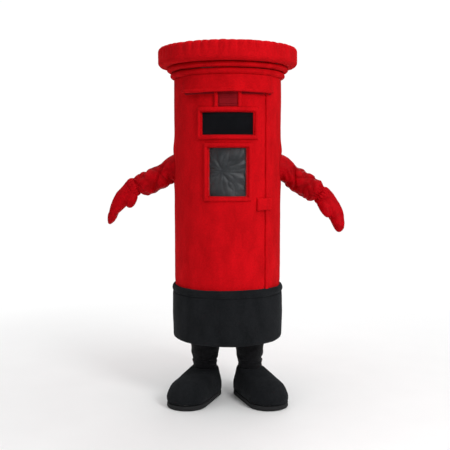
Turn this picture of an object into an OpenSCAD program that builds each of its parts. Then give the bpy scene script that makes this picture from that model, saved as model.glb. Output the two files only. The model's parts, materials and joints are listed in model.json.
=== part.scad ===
// Pillar-box mascot costume: a plush-covered foam barrel with a cap, cornice, letter slot and window,
// carried on a shoulder harness, with sleeves, mittens, trousers and padded shoes.
// Millimetres. +Z is up, the front faces -Y, and the origin is on the barrel's axis at floor level.
// Right and left are the wearer's: right is -X and left is +X.

/* [Barrel] */
// Outer radius of the plush-covered barrel
body_r = 300; // [290:1:305]
// Thickness of the plush cover
cover_t = 6; // [4:1:8]
// Thickness of the foam sheet
foam_t = 20; // [15:1:22]
// Height of the barrel's lower edge above the floor
barrel_bottom = 350; // [340:5:380]
// Height of the top of the black base band
base_top = 656; // [600:2:700]
// Height of the padded hem along the top of the base band
hem_h = 40; // [30:1:60]
// Height of the lower cornice's underside
cornice_bottom = 1801; // [1790:1:1820]

/* [Cap] */
// Outer radius of the cap
cap_r = 389; // [380:1:400]
// Height of the cap's underside
cap_bottom = 1868; // [1860:1:1880]
// Height of the cap's rim
cap_h = 102; // [90:1:110]
// Rise of the crowned top above the rim
crown_h = 16; // [8:1:30]

/* [Front] */
// Width of the letter slot's opening
slot_w = 282; // [200:2:290]
// Height of the letter slot's opening
slot_h = 123; // [80:1:126]
// Height of the slot's lower edge above the floor
slot_z = 1485; // [1478:1:1488]
// Width of the door window's opening
window_w = 212; // [150:2:220]
// Height of the door window's opening
window_h = 262; // [200:1:264]
// Height of the window's lower edge above the floor
window_z = 1159; // [1150:1:1160]
// Angle of the door's free edge from the front
door_edge_deg = 42; // [38:1:44]

/* [Arms] */
// Angle of the right sleeve below the horizontal
droop_right = 29.5; // [20:0.5:40]
// Angle of the left sleeve below the horizontal
droop_left = 38; // [20:0.5:40]
// Length of the right sleeve from its pivot to the wrist, as it is pushed up
sleeve_len_right = 215; // [200:1:260]
// Length of the left sleeve from its pivot to the wrist
sleeve_len_left = 247; // [200:1:260]
// Angle of the right mitten below the horizontal
hand_drop_right = 64; // [50:1:80]
// Angle of the left mitten below the horizontal
hand_drop_left = 78; // [50:1:80]
// Forward tilt of the left mitten
hand_tilt_left = 26; // [0:1:35]

/* [Legs] */
// Distance of each leg's axis from the middle
leg_x = 130; // [118:1:134]
// Outward turn of each shoe
splay = 25; // [15:1:32]
// Height of the hip pivots
hip_z = 840; // [820:5:860]

/* [Zip] */
// Height of the lower end of the back zip
zip_bottom = 700; // [680:5:760]
// Height of the upper end of the back zip
zip_top = 1740; // [1700:5:1760]

/* [Hidden] */

$fn = 96;
RIGHT = -1;
LEFT = 1;

red_plush = [0.80, 0.06, 0.08];
deep_red = [0.52, 0.03, 0.06];
black_plush = [0.09, 0.09, 0.10];
foam_grey = [0.62, 0.62, 0.60];
webbing_black = [0.05, 0.05, 0.06];
plastic_black = [0.08, 0.08, 0.09];
steel_grey = [0.66, 0.67, 0.70];

foam_r = body_r - cover_t;
bore_r = foam_r - foam_t;
base_r = body_r + 16;
base_lip = 6;
hem_r = body_r + 12;
hoop_t = 6;
hoop_h = 18;

// Cap and cornice
rim_r = cap_r - cover_t;
cap_sheet = 20;
cap_edge_z = cap_bottom + cap_h;
cornice_split = cornice_bottom + 37;
cornice_low_r = body_r + 20;
cornice_high_r = body_r + 39;

// Front trim
hood_half_deg = 52;
hood_bottom = cornice_bottom - 93;
hood_out = 24;
trim_out = 12;
slot_frame_w = 316;
slot_frame_z = slot_z - 23;
slot_frame_top = slot_z + slot_h + 26;
window_frame_w = 250;
window_frame_z = window_z - 24;
window_frame_top = window_z + window_h + 24;
tablet_half = 51;
tablet_bar_w = 21;
strip_deg = 5;
strip_out = 4;
lock_deg = 20;
lock_z = 1084;
lock_h = 66;

// Arms
arm_z = 1316;
arm_pivot_x = body_r + 30;
armhole_r = 82;
shoulder_r = 70;
cloth_t = 6;
wrist_r = 46;
wrist_wall = 5;
wrist_gap = 1;
neck_back = 26;
glove_wall = 6;
cuff_start = 8;
cuff_end = 36;

// Legs and shoes
leg_top = hip_z - 25;
leg_wall = 5;
seat_bottom = hip_z + 10;
waist_z = 1000;
waist_h = 40;
waist_r = 158;
ankle_z = 190;
collar_z = 168;
collar_r = 76;
heel_r = 92;
toe_r = 112;
toe_reach = 225;
sole_h = 27;
insole_h = 6;
shoe_wall = 14;

// Harness
pad_in = 80;
pad_w = 60;
pad_r = 130;
pad_t = 12;
pad_z = 1270;
anchor_deg = 33;
anchor_z = 1165;
anchor_h = 60;
strap_w = 25;
strap_t = 3;

// Zip
zip_slit = 30;
teeth_w = 6;
tape_r = foam_r + 4;
teeth_r = body_r + 1;
slider_w = 16;
slider_h = 26;
slider_z = zip_top - 44;
slider_gap = 0.6;
pull_pin_r = 1.5;
pull_z = slider_z + 13;
pull_y = teeth_r + 9;
pull_l = 42;

function arc(cx, cy, r, from, to, steps) =
    [for (i = [0:steps]) let (a = from + (to - from) * i / steps) [cx + r * cos(a), cy + r * sin(a)]];

module tube(r_out, r_in, z0, z1) {
    translate([0, 0, z0])
        difference() {
            cylinder(r = r_out, h = z1 - z0);
            translate([0, 0, -1]) cylinder(r = r_in, h = z1 - z0 + 2);
        }
}

// The part of a tube that lies between two x values, on the front (-1) or the back (1)
module patch(r_out, r_in, x0, x1, z0, z1, face = -1) {
    intersection() {
        tube(r_out, r_in, z0, z1);
        translate([x0, face > 0 ? 0 : -r_out - 1, z0]) cube([x1 - x0, r_out + 1, z1 - z0]);
    }
}

// The part of a tube between two angles, counted from the front towards +X
module stave(r_out, r_in, deg0, deg1, z0, z1) {
    translate([0, 0, z0])
        rotate([0, 0, deg0 - 90])
            rotate_extrude(angle = deg1 - deg0)
                translate([r_in, 0]) square([r_out - r_in, z1 - z0]);
}

module at_arm(side) {
    droop = side < 0 ? droop_right : droop_left;
    scale_x(side)
        translate([arm_pivot_x, 0, arm_z])
            rotate([0, droop, 0])
                children();
}

module scale_x(side) {
    mirror([side < 0 ? 1 : 0, 0, 0]) children();
}

// Turns a Z-axis solid so that it runs outwards along the arm
module along_arm() {
    rotate([0, 90, 0]) children();
}

module slot_cut() {
    translate([-slot_w / 2, -body_r - 20, slot_z]) cube([slot_w, 150, slot_h]);
}

module window_cut() {
    translate([-window_w / 2, -body_r - 20, window_z]) cube([window_w, 150, window_h]);
}

module armhole_cuts() {
    translate([-body_r - 20, 0, arm_z])
        rotate([0, 90, 0])
            cylinder(r = armhole_r, h = 2 * body_r + 40);
}

module zip_cut(width) {
    translate([-width / 2, body_r - 60, zip_bottom]) cube([width, 80, zip_top - zip_bottom]);
}

module foam_barrel() {
    color(foam_grey)
        difference() {
            tube(foam_r, bore_r, barrel_bottom + base_lip, cap_bottom);
            slot_cut();
            window_cut();
            armhole_cuts();
            zip_cut(2);
        }
}

module barrel_cover() {
    color(red_plush)
        difference() {
            tube(body_r, foam_r, base_top - hem_h, cornice_bottom);
            slot_cut();
            window_cut();
            armhole_cuts();
            zip_cut(zip_slit);
        }
}

module base_band() {
    color(black_plush)
        rotate_extrude()
            polygon(concat(
                [
                    [bore_r, barrel_bottom],
                    [base_r - 12, barrel_bottom]
                ],
                arc(base_r - 12, barrel_bottom + 12, 12, -90, 0, 6),
                [
                    [base_r, base_top - hem_h],
                    [foam_r, base_top - hem_h],
                    [foam_r, barrel_bottom + base_lip],
                    [bore_r, barrel_bottom + base_lip]
                ]
            ));
}

module base_hem() {
    color(black_plush)
        rotate_extrude()
            polygon(concat(
                [
                    [body_r, base_top - hem_h],
                    [hem_r, base_top - hem_h]
                ],
                arc(hem_r - 8, base_top - 8, 8, 0, 90, 6),
                [[body_r, base_top]]
            ));
}

module hoop(z) {
    color(plastic_black) tube(bore_r, bore_r - hoop_t, z, z + hoop_h);
}

module hem_hoop() {
    hoop(barrel_bottom + base_lip + 6);
}

module waist_hoop() {
    hoop(waist_z);
}

module chest_hoop() {
    hoop(window_frame_top + 2);
}

module cap_floor() {
    color(foam_grey)
        translate([0, 0, cap_bottom]) cylinder(r = rim_r, h = cap_sheet);
}

module cap_wall() {
    color(foam_grey) tube(rim_r, rim_r - cap_sheet, cap_bottom + cap_sheet, cap_edge_z - cap_sheet);
}

module cap_roof() {
    color(foam_grey)
        translate([0, 0, cap_edge_z - cap_sheet]) cylinder(r = rim_r, h = cap_sheet);
}

module cap_rim_cover() {
    color(red_plush) tube(cap_r, rim_r, cap_bottom, cap_edge_z);
}

// Rise of the crowned top at a distance r from the axis
function crown(r) = cover_t + (crown_h - cover_t) * (1 - pow(r / cap_r, 2));

module cap_top_cover() {
    steps = 8;
    color(red_plush)
        translate([0, 0, cap_edge_z])
            rotate_extrude()
                polygon(concat(
                    [
                        [0, 0],
                        [cap_r, 0]
                    ],
                    [for (i = [steps:-1:0]) [cap_r * i / steps, crown(cap_r * i / steps)]]
                ));
}

module cornice_ring(r_out, z0, z1) {
    nose = (z1 - z0) / 2;
    color(red_plush)
        rotate_extrude()
            polygon(concat(
                [[foam_r, z0]],
                arc(r_out - nose, z0 + nose, nose, -90, 90, 12),
                [[foam_r, z1]]
            ));
}

module cornice_upper() {
    cornice_ring(cornice_high_r, cornice_split, cap_bottom);
}

module cornice_lower() {
    cornice_ring(cornice_low_r, cornice_bottom, cornice_split);
}

module hood_band() {
    lip = 6;
    color(red_plush)
        rotate([0, 0, -hood_half_deg - 90])
            rotate_extrude(angle = 2 * hood_half_deg)
                polygon(concat(
                    [
                        [body_r, cornice_bottom],
                        [body_r, hood_bottom]
                    ],
                    arc(body_r + hood_out - lip, hood_bottom + lip, lip, -90, 0, 6),
                    [[body_r + hood_out - 8, cornice_bottom]]
                ));
}

module tablet_bars() {
    color(red_plush)
        for (side = [RIGHT, LEFT])
            scale_x(side)
                patch(
                    body_r + trim_out, body_r,
                    tablet_half, tablet_half + tablet_bar_w,
                    slot_frame_top, hood_bottom
                );
}

module tablet_plate() {
    color(deep_red)
        patch(body_r + 3, body_r, -tablet_half, tablet_half, slot_frame_top, hood_bottom);
}

module slot_frame() {
    color(red_plush)
        difference() {
            patch(
                body_r + trim_out, body_r,
                -slot_frame_w / 2, slot_frame_w / 2,
                slot_frame_z, slot_frame_top
            );
            slot_cut();
        }
}

module vision_mesh() {
    color(black_plush)
        patch(foam_r, foam_r - 3, -slot_w / 2, slot_w / 2, slot_z, slot_z + slot_h);
}

module window_frame() {
    color(red_plush)
        difference() {
            patch(
                body_r + trim_out, body_r,
                -window_frame_w / 2, window_frame_w / 2,
                window_frame_z, window_frame_top
            );
            window_cut();
        }
}

module window_film() {
    color([0.75, 0.78, 0.80, 0.4])
        patch(
            body_r, body_r - 1.5,
            -window_w / 2, window_w / 2,
            window_z, window_z + window_h
        );
}

module window_backing() {
    margin = 14;
    color([0.20, 0.21, 0.23])
        patch(
            bore_r, bore_r - 8,
            -window_w / 2 - margin, window_w / 2 + margin,
            window_z - margin, window_z + window_h + margin
        );
}

module door_edge_strip() {
    color(red_plush) {
        stave(body_r + strip_out, body_r, door_edge_deg, door_edge_deg + strip_deg,
            lock_z + lock_h, hood_bottom);
        stave(body_r + strip_out, body_r, door_edge_deg, door_edge_deg + strip_deg,
            base_top, lock_z);
    }
}

module lock_block() {
    middle = door_edge_deg - 1.5;
    color(red_plush)
        stave(body_r + 14, body_r, middle - lock_deg / 2, middle + lock_deg / 2,
            lock_z, lock_z + lock_h);
}

module zip_tape() {
    color(deep_red)
        for (side = [RIGHT, LEFT])
            scale_x(side)
                patch(tape_r, foam_r, teeth_w / 2, zip_slit / 2, zip_bottom, zip_top, 1);
}

module zip_teeth() {
    color(steel_grey)
        patch(teeth_r, foam_r, -teeth_w / 2, teeth_w / 2, zip_bottom, zip_top, 1);
}

// A saddle over the teeth, with two lugs and a pin for the pull
module zip_slider() {
    saddle_y = body_r + slider_gap;
    color(steel_grey) {
        difference() {
            translate([-slider_w / 2, saddle_y, slider_z]) cube([slider_w, 6, slider_h]);
            translate([-teeth_w / 2 - slider_gap, saddle_y - 1, slider_z - 1])
                cube([teeth_w + 2 * slider_gap, 1 + teeth_r - saddle_y + slider_gap + 1, slider_h + 2]);
        }
        for (side = [RIGHT, LEFT])
            scale_x(side)
                translate([5, saddle_y + 6, pull_z - 3]) cube([2, pull_y + 3 - saddle_y - 6, 6]);
        translate([-5, pull_y, pull_z])
            rotate([0, 90, 0])
                cylinder(r = pull_pin_r, h = 10);
    }
}

// A flat tag that hangs from the slider's pin
module zip_pull() {
    eye_r = 2.5;
    color(steel_grey)
        difference() {
            union() {
                translate([-4, pull_y, pull_z])
                    rotate([0, 90, 0])
                        cylinder(r = eye_r, h = 8);
                translate([-4, pull_y - 1, pull_z - pull_l]) cube([8, 2, pull_l]);
            }
            translate([-5, pull_y, pull_z])
                rotate([0, 90, 0])
                    cylinder(r = pull_pin_r + 0.05, h = 10);
        }
}

// A padded arch over one shoulder
module harness_pad(side) {
    color(black_plush)
        scale_x(side)
            translate([pad_in, 0, pad_z])
                intersection() {
                    rotate([0, 90, 0])
                        difference() {
                            cylinder(r = pad_r, h = pad_w);
                            translate([0, 0, -1]) cylinder(r = pad_r - pad_t, h = pad_w + 2);
                        }
                    translate([0, -pad_r - 1, 0]) cube([pad_w, 2 * pad_r + 2, pad_r + 1]);
                }
}

module harness_pad_right() {
    harness_pad(RIGHT);
}

module harness_pad_left() {
    harness_pad(LEFT);
}

module strap(from, to) {
    hull() {
        translate(from) cube([strap_w, strap_t, 2]);
        translate(to) cube([strap_w, strap_t, 2]);
    }
}

module four_ways() {
    for (side = [RIGHT, LEFT], face = [0, 1])
        scale_x(side)
            mirror([0, face, 0])
                children();
}

module harness_webbing() {
    wall_r = bore_r - 10;
    color(webbing_black)
        four_ways()
            strap(
                [pad_in + pad_w - strap_w, -pad_r + 4, pad_z - 2],
                [wall_r * sin(anchor_deg) - strap_w / 2, -wall_r * cos(anchor_deg), anchor_z + anchor_h / 2]
            );
}

module harness_anchors() {
    half_deg = 6;
    color(webbing_black)
        four_ways()
            stave(bore_r, bore_r - 5, anchor_deg - half_deg, anchor_deg + half_deg,
                anchor_z, anchor_z + anchor_h);
}

module trouser_braces() {
    color(webbing_black)
        four_ways()
            strap(
                [pad_in, -pad_r + 4, pad_z - 2],
                [pad_in - 4, -sqrt(pow(waist_r, 2) - pow(pad_in, 2)) + 2, waist_z + waist_h]
            );
}

module trouser_waistband() {
    color(webbing_black) tube(waist_r, waist_r - 6, waist_z, waist_z + waist_h);
}

module seat_form(shrink) {
    hull() {
        translate([0, 0, waist_z - 1]) cylinder(r = waist_r - shrink, h = 1, $fn = 32);
        for (side = [RIGHT, LEFT])
            translate([side * leg_x, 0, seat_bottom]) cylinder(r = 95 - shrink, h = 1, $fn = 32);
    }
}

module trouser_seat() {
    color(black_plush)
        difference() {
            seat_form(0);
            difference() {
                translate([0, 0, 2]) seat_form(leg_wall);
                translate([-20, -100, seat_bottom]) cube([40, 200, 12]);
            }
            for (side = [RIGHT, LEFT])
                translate([side * leg_x, 0, seat_bottom - 1]) cylinder(r = 88, h = 14);
        }
}

// A lined ring through the wall where a sleeve is sewn in
module armhole_ring(side) {
    color(red_plush)
        scale_x(side)
            translate([bore_r - 30, 0, arm_z])
                rotate([0, 90, 0])
                    difference() {
                        cylinder(r = armhole_r, h = 56);
                        translate([0, 0, -1]) cylinder(r = armhole_r - 5, h = 58);
                    }
}

module armhole_ring_right() {
    armhole_ring(RIGHT);
}

module armhole_ring_left() {
    armhole_ring(LEFT);
}

// Outline of a sleeve along its axis, from the ball in the armhole to the gathered wrist
function sleeve_line(length, inset) = concat(
    arc(0, 0, shoulder_r - inset, 130, 90, 8),
    [
        [length * 0.35, 66 - inset],
        [length - 75, 70 - inset],
        [length - 45, 68 - inset],
        [length - neck_back, inset > 0 ? 36 : 46]
    ]
);

function swap(points) = [for (p = points) [p[1], p[0]]];
function backwards(points) = [for (i = [len(points) - 1:-1:0]) points[i]];

module sleeve(side) {
    length = side < 0 ? sleeve_len_right : sleeve_len_left;
    color(red_plush)
        at_arm(side)
            along_arm()
                rotate_extrude()
                    polygon(swap(concat(
                        sleeve_line(length, 0),
                        backwards(sleeve_line(length, cloth_t))
                    )));
}

module sleeve_right() {
    sleeve(RIGHT);
}

module sleeve_left() {
    sleeve(LEFT);
}

module at_wrist(side) {
    at_arm(side)
        translate([side < 0 ? sleeve_len_right : sleeve_len_left, 0, 0])
            children();
}

// A band of a hollow ball around the wrist, between two distances along the arm
module ball_band(r_out, r_in, x0, x1) {
    intersection() {
        difference() {
            sphere(r = r_out);
            sphere(r = r_in);
        }
        translate([x0, 0, 0])
            rotate([0, 90, 0])
                cylinder(r = r_out + 1, h = x1 - x0);
    }
}

module sleeve_cuff(side) {
    color(deep_red)
        at_wrist(side)
            ball_band(wrist_r, wrist_r - wrist_wall, -neck_back, 30);
}

module sleeve_cuff_right() {
    sleeve_cuff(RIGHT);
}

module sleeve_cuff_left() {
    sleeve_cuff(LEFT);
}

module glove_cuff(side) {
    inner = wrist_r + wrist_gap;
    color(red_plush)
        at_wrist(side)
            ball_band(inner + wrist_wall, inner, cuff_start, cuff_end);
}

module glove_cuff_right() {
    glove_cuff(RIGHT);
}

module glove_cuff_left() {
    glove_cuff(LEFT);
}

// Turns from the arm's direction to the mitten's: +X runs to the fingertips and +Z to the back of the hand
module at_hand(side) {
    drop = side < 0 ? hand_drop_right : hand_drop_left;
    droop = side < 0 ? droop_right : droop_left;
    tilt = side < 0 ? 0 : hand_tilt_left;
    at_wrist(side)
        rotate([0, -droop, 0])
            rotate([-tilt, 0, 0])
                rotate([0, drop, 0])
                    children();
}

module oval(x, z, r, flat) {
    translate([x, 0, z]) scale([1, flat, 1]) sphere(r = r, $fn = 32);
}

module mitten_form(shrink) {
    hull() {
        oval(50, 28, 46 - shrink, 0.85);
        oval(105, 44, 48 - shrink, 0.7);
        oval(190, 55, 36 - shrink, 0.72);
        oval(232, 50, 24 - shrink, 0.8);
    }
}

// Everything beyond the mitten's cuff
module past_cuff(side) {
    at_wrist(side)
        translate([cuff_end, -150, -300]) cube([400, 300, 600]);
}

module glove(side) {
    color(red_plush)
        difference() {
            intersection() {
                at_hand(side) mitten_form(0);
                past_cuff(side);
            }
            at_hand(side) mitten_form(glove_wall);
            at_wrist(side) sphere(r = wrist_r + wrist_gap);
        }
}

module glove_right() {
    glove(RIGHT);
}

module glove_left() {
    glove(LEFT);
}

module thumb_form() {
    hull() {
        oval(66, -4, 27, 0.85);
        oval(110, -12, 22, 0.9);
    }
}

module glove_thumb(side) {
    color(red_plush)
        difference() {
            intersection() {
                at_hand(side) thumb_form();
                past_cuff(side);
            }
            at_hand(side) mitten_form(0);
        }
}

module glove_thumb_right() {
    glove_thumb(RIGHT);
}

module glove_thumb_left() {
    glove_thumb(LEFT);
}

module trouser_leg(side) {
    color(black_plush)
        translate([side * leg_x, 0, 0])
            rotate_extrude()
                polygon([
                    [92 - leg_wall, leg_top],
                    [92, leg_top],
                    [80, 380],
                    [74, 260],
                    [70, ankle_z + 22],
                    [70 - leg_wall, ankle_z + 22],
                    [74 - leg_wall, 260],
                    [80 - leg_wall, 380]
                ]);
}

module trouser_leg_right() {
    trouser_leg(RIGHT);
}

module trouser_leg_left() {
    trouser_leg(LEFT);
}

module ankle_cuff(side) {
    color(webbing_black)
        translate([side * leg_x, 0, 0]) tube(71, 63, ankle_z, ankle_z + 22);
}

module ankle_cuff_right() {
    ankle_cuff(RIGHT);
}

module ankle_cuff_left() {
    ankle_cuff(LEFT);
}

// The shoe's own frame: the toe points to -Y and the ankle is over the origin
module at_foot(side) {
    scale_x(side)
        translate([leg_x, 0, 0])
            rotate([0, 0, splay])
                children();
}

// An egg-shaped outline of two circles and the tangents between them
module sole_outline(inset) {
    heel = heel_r - inset;
    toe = toe_r - inset;
    lean = asin((toe - heel) / toe_reach);
    translate([0, 5]) circle(r = heel);
    translate([0, 5 - toe_reach]) circle(r = toe);
    polygon([
        [heel * cos(lean), 5 + heel * sin(lean)],
        [-heel * cos(lean), 5 + heel * sin(lean)],
        [-toe * cos(lean), 5 - toe_reach + toe * sin(lean)],
        [toe * cos(lean), 5 - toe_reach + toe * sin(lean)]
    ]);
}

module shoe_form(shrink) {
    hull() {
        translate([0, 5 - toe_reach, sole_h - 5]) cylinder(r = toe_r - shrink, h = 35, $fn = 32);
        translate([0, 5, sole_h - 5]) cylinder(r = heel_r - shrink, h = 55, $fn = 32);
        translate([0, 12 - toe_reach, sole_h + 60 - shrink / 2])
            scale([1, 1, 0.62])
                sphere(r = 100 - shrink, $fn = 32);
        translate([0, 0, collar_z - 1]) cylinder(r = collar_r - shrink, h = 1, $fn = 32);
    }
}

module shoe_upper(side) {
    color(black_plush)
        at_foot(side)
            difference() {
                shoe_form(0);
                translate([-150, -400, -1]) cube([300, 600, sole_h + 1]);
                intersection() {
                    shoe_form(shoe_wall);
                    translate([-120, -400, sole_h - 1]) cube([240, 520, collar_z - sole_h - 13]);
                }
                translate([0, 0, sole_h]) cylinder(r = collar_r - shoe_wall, h = collar_z);
            }
}

module shoe_upper_right() {
    shoe_upper(RIGHT);
}

module shoe_upper_left() {
    shoe_upper(LEFT);
}

module shoe_sole(side) {
    color(plastic_black)
        at_foot(side)
            linear_extrude(sole_h)
                sole_outline(0);
}

module shoe_sole_right() {
    shoe_sole(RIGHT);
}

module shoe_sole_left() {
    shoe_sole(LEFT);
}

module shoe_insole(side) {
    color(foam_grey)
        at_foot(side)
            translate([0, 0, sole_h])
                linear_extrude(insole_h)
                    sole_outline(shoe_wall + 4);
}

module shoe_insole_right() {
    shoe_insole(RIGHT);
}

module shoe_insole_left() {
    shoe_insole(LEFT);
}

foam_barrel();
barrel_cover();
base_band();
base_hem();
hem_hoop();
waist_hoop();
chest_hoop();
cap_floor();
cap_wall();
cap_roof();
cap_rim_cover();
cap_top_cover();
cornice_upper();
cornice_lower();
hood_band();
tablet_bars();
tablet_plate();
slot_frame();
vision_mesh();
window_frame();
window_film();
window_backing();
door_edge_strip();
lock_block();
zip_tape();
zip_teeth();
zip_slider();
zip_pull();
harness_pad_right();
harness_pad_left();
harness_webbing();
harness_anchors();
trouser_braces();
trouser_waistband();
trouser_seat();
armhole_ring_right();
armhole_ring_left();
sleeve_right();
sleeve_left();
sleeve_cuff_right();
sleeve_cuff_left();
glove_cuff_right();
glove_cuff_left();
glove_right();
glove_left();
glove_thumb_right();
glove_thumb_left();
trouser_leg_right();
trouser_leg_left();
ankle_cuff_right();
ankle_cuff_left();
shoe_upper_right();
shoe_upper_left();
shoe_sole_right();
shoe_sole_left();
shoe_insole_right();
shoe_insole_left();
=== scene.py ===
import json
import math

import bmesh
import bpy
from mathutils import Matrix, Vector, noise


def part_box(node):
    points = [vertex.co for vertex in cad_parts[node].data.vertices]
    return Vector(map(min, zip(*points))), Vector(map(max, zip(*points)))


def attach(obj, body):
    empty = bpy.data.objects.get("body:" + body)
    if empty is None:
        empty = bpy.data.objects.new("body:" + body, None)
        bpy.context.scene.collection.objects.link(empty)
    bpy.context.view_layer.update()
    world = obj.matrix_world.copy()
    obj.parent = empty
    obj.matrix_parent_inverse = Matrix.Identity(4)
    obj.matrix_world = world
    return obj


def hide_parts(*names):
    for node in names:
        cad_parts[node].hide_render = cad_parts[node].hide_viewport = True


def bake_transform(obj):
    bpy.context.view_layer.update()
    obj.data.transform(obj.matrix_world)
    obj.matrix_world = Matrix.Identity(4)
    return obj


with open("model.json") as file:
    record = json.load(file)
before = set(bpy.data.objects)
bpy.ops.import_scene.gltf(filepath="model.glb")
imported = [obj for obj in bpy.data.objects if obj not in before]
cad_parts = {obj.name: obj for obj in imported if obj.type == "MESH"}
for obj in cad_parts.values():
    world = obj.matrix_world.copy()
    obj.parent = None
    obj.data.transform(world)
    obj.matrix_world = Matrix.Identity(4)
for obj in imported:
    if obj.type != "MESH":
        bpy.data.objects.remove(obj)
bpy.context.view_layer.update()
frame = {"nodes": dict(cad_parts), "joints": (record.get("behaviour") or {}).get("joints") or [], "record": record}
nodes = frame["nodes"]
joints = {joint["name"]: joint for joint in frame["joints"]}
slot_of = {part["node"]: part["material_slot"] for part in frame["record"]["subparts"]}
SIDES = {"right": -1, "left": 1}
TURN = 2 * math.pi
# Thicknesses in metres: the plush of the covers, the cloth of the trim, stretch cloth and a zip's tape
PLUSH, TRIM, STRETCH, TAPE = 0.004, 0.002, 0.0015, 0.0012


# ---------------------------------------------------------------- camera, lights and floor

def camera(place, tip, lens):
    """A camera that looks along +Y and tips down by some degrees."""
    made = bpy.data.objects.new("camera", bpy.data.cameras.new("camera"))
    made.location = place
    made.rotation_euler = (math.radians(90 - tip), 0, 0)
    made.data.lens = lens
    made.data.sensor_width = 36
    bpy.context.scene.collection.objects.link(made)
    bpy.context.scene.camera = made


def softbox(name, place, aim, size, power):
    """A soft rectangular lamp that faces a point."""
    lamp = bpy.data.lights.new(name, "AREA")
    lamp.shape = "RECTANGLE"
    lamp.size, lamp.size_y = size
    lamp.energy = power
    made = bpy.data.objects.new(name, lamp)
    made.location = place
    made.rotation_euler = (Vector(aim) - Vector(place)).to_track_quat("-Z", "Y").to_euler()
    bpy.context.scene.collection.objects.link(made)


camera((-0.0142, -4.262, 1.3438), 4.80, 60)
softbox("overhead", (0, 0, 6), (0, 0.001, 0), (14, 14), 590)
softbox("key", (2.4, -3.2, 3.0), (0, 0, 1.1), (1.2, 1.4), 84)
softbox("fill", (-3.4, -2.6, 1.4), (0, 0, 1.0), (1.6, 2.0), 8)
softbox("back", (0.6, 3.4, 2.8), (0, 0, 1.2), (2.0, 2.0), 40)
bpy.context.scene.view_settings.view_transform = "Standard"


# ---------------------------------------------------------------- shader maths

class Wire:
    """An output of a node that takes part in sums, so that shader maths reads as plain Python."""

    def __init__(self, socket):
        self.socket = socket

    def sum(self, operation, first, second):
        tree = self.socket.id_data
        return node(tree, "ShaderNodeMath", {"operation": operation}, {0: first, 1: second})

    def __add__(self, other):
        return self.sum("ADD", self, other)

    def __radd__(self, other):
        return self.sum("ADD", other, self)

    def __sub__(self, other):
        return self.sum("SUBTRACT", self, other)

    def __rsub__(self, other):
        return self.sum("SUBTRACT", other, self)

    def __mul__(self, other):
        return self.sum("MULTIPLY", self, other)

    def __rmul__(self, other):
        return self.sum("MULTIPLY", other, self)


def node(tree, kind, settings=None, sockets=None, output=0):
    """Adds a node: its settings first, then the values or links of its sockets."""
    made = tree.nodes.new(kind)
    for name, value in (settings or {}).items():
        setattr(made, name, value)
    for name, value in (sockets or {}).items():
        if isinstance(value, Wire):
            tree.links.new(value.socket, made.inputs[name])
        else:
            made.inputs[name].default_value = value
    return Wire(made.outputs[output]) if made.outputs else None


def start(name):
    """A new material with an empty node tree."""
    material = bpy.data.materials.new(name)
    material.use_nodes = True
    material.node_tree.nodes.clear()
    return material, material.node_tree


def where(tree, scale=(1, 1, 1), turn=(0, 0, 0)):
    """Places on the object in metres, scaled and turned."""
    coords = node(tree, "ShaderNodeTexCoord", output="Object")
    return node(tree, "ShaderNodeMapping", sockets={"Vector": coords, "Scale": scale, "Rotation": turn})


def grain(tree, place, scale, detail=3.0, rough=0.55):
    """Uneven grain, from about 0.2 to 0.8, with marks about 1 / scale metres across."""
    sockets = {"Vector": place, "Scale": scale, "Detail": detail, "Roughness": rough}
    return node(tree, "ShaderNodeTexNoise", sockets=sockets)


def between(tree, value, low, high):
    """Stretches a value so that low becomes 0 and high becomes 1."""
    return node(tree, "ShaderNodeMapRange", sockets={"Value": value, 1: low, 2: high, 3: 0.0, 4: 1.0})


def tint(tree, factor, first, second):
    """The first colour where the factor is 0, and the second where it is 1."""
    return node(tree, "ShaderNodeMix", {"data_type": "RGBA"}, {0: factor, 6: first, 7: second}, output=2)


def colour(red, green, blue):
    return (red, green, blue, 1.0)


def ribs(tree, place, scale, axis):
    """Parallel threads, as a wave from 0 to 1 along an axis."""
    settings = {"wave_type": "BANDS", "bands_direction": axis, "wave_profile": "SIN"}
    return node(tree, "ShaderNodeTexWave", settings, {"Vector": place, "Scale": scale, "Distortion": 0.0})


SOCKETS = {"sheen_weight": "Sheen Weight", "sheen_roughness": "Sheen Roughness", "sheen_tint": "Sheen Tint",
           "specular_ior_level": "Specular IOR Level", "metallic": "Metallic"}


def coat(tree, shade, rough, height, strength, distance, **fixed):
    """Joins colour, roughness and bump height to one shader and the material's output."""
    relief = {"Strength": strength, "Distance": distance, "Height": height}
    bump = node(tree, "ShaderNodeBump", sockets=relief)
    sockets = {"Base Color": shade, "Roughness": rough, "Normal": bump}
    sockets.update({SOCKETS[name]: value for name, value in fixed.items()})
    shader = node(tree, "ShaderNodeBsdfPrincipled", sockets=sockets)
    node(tree, "ShaderNodeOutputMaterial", sockets={"Surface": shader})


def pile_cloth(name, deep, main, bright, nap_scale, rough, sheen, sheen_colour):
    """Short-pile plush: brushed patches, fibre speckle and a soft sheen."""
    material, tree = start(name)
    brushed = grain(tree, where(tree, (1, 1, 0.45)), 16, 4)
    clumps = grain(tree, where(tree), nap_scale, 4, 0.65)
    fibre = grain(tree, where(tree, (1, 1, 0.6)), 900, 2, 0.7)
    patch = between(tree, brushed * 0.55 + clumps * 0.45, 0.36, 0.64)
    shade = tint(tree, patch, colour(*deep), colour(*main))
    shade = tint(tree, between(tree, fibre, 0.55, 0.8) * 0.5, shade, colour(*bright))
    height = fibre * 0.45 + clumps * 0.55
    coat(tree, shade, rough - patch * 0.08, height, 0.55, 0.004, sheen_weight=sheen,
         sheen_roughness=0.55, sheen_tint=colour(*sheen_colour), specular_ior_level=0.06)
    return material


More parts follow.
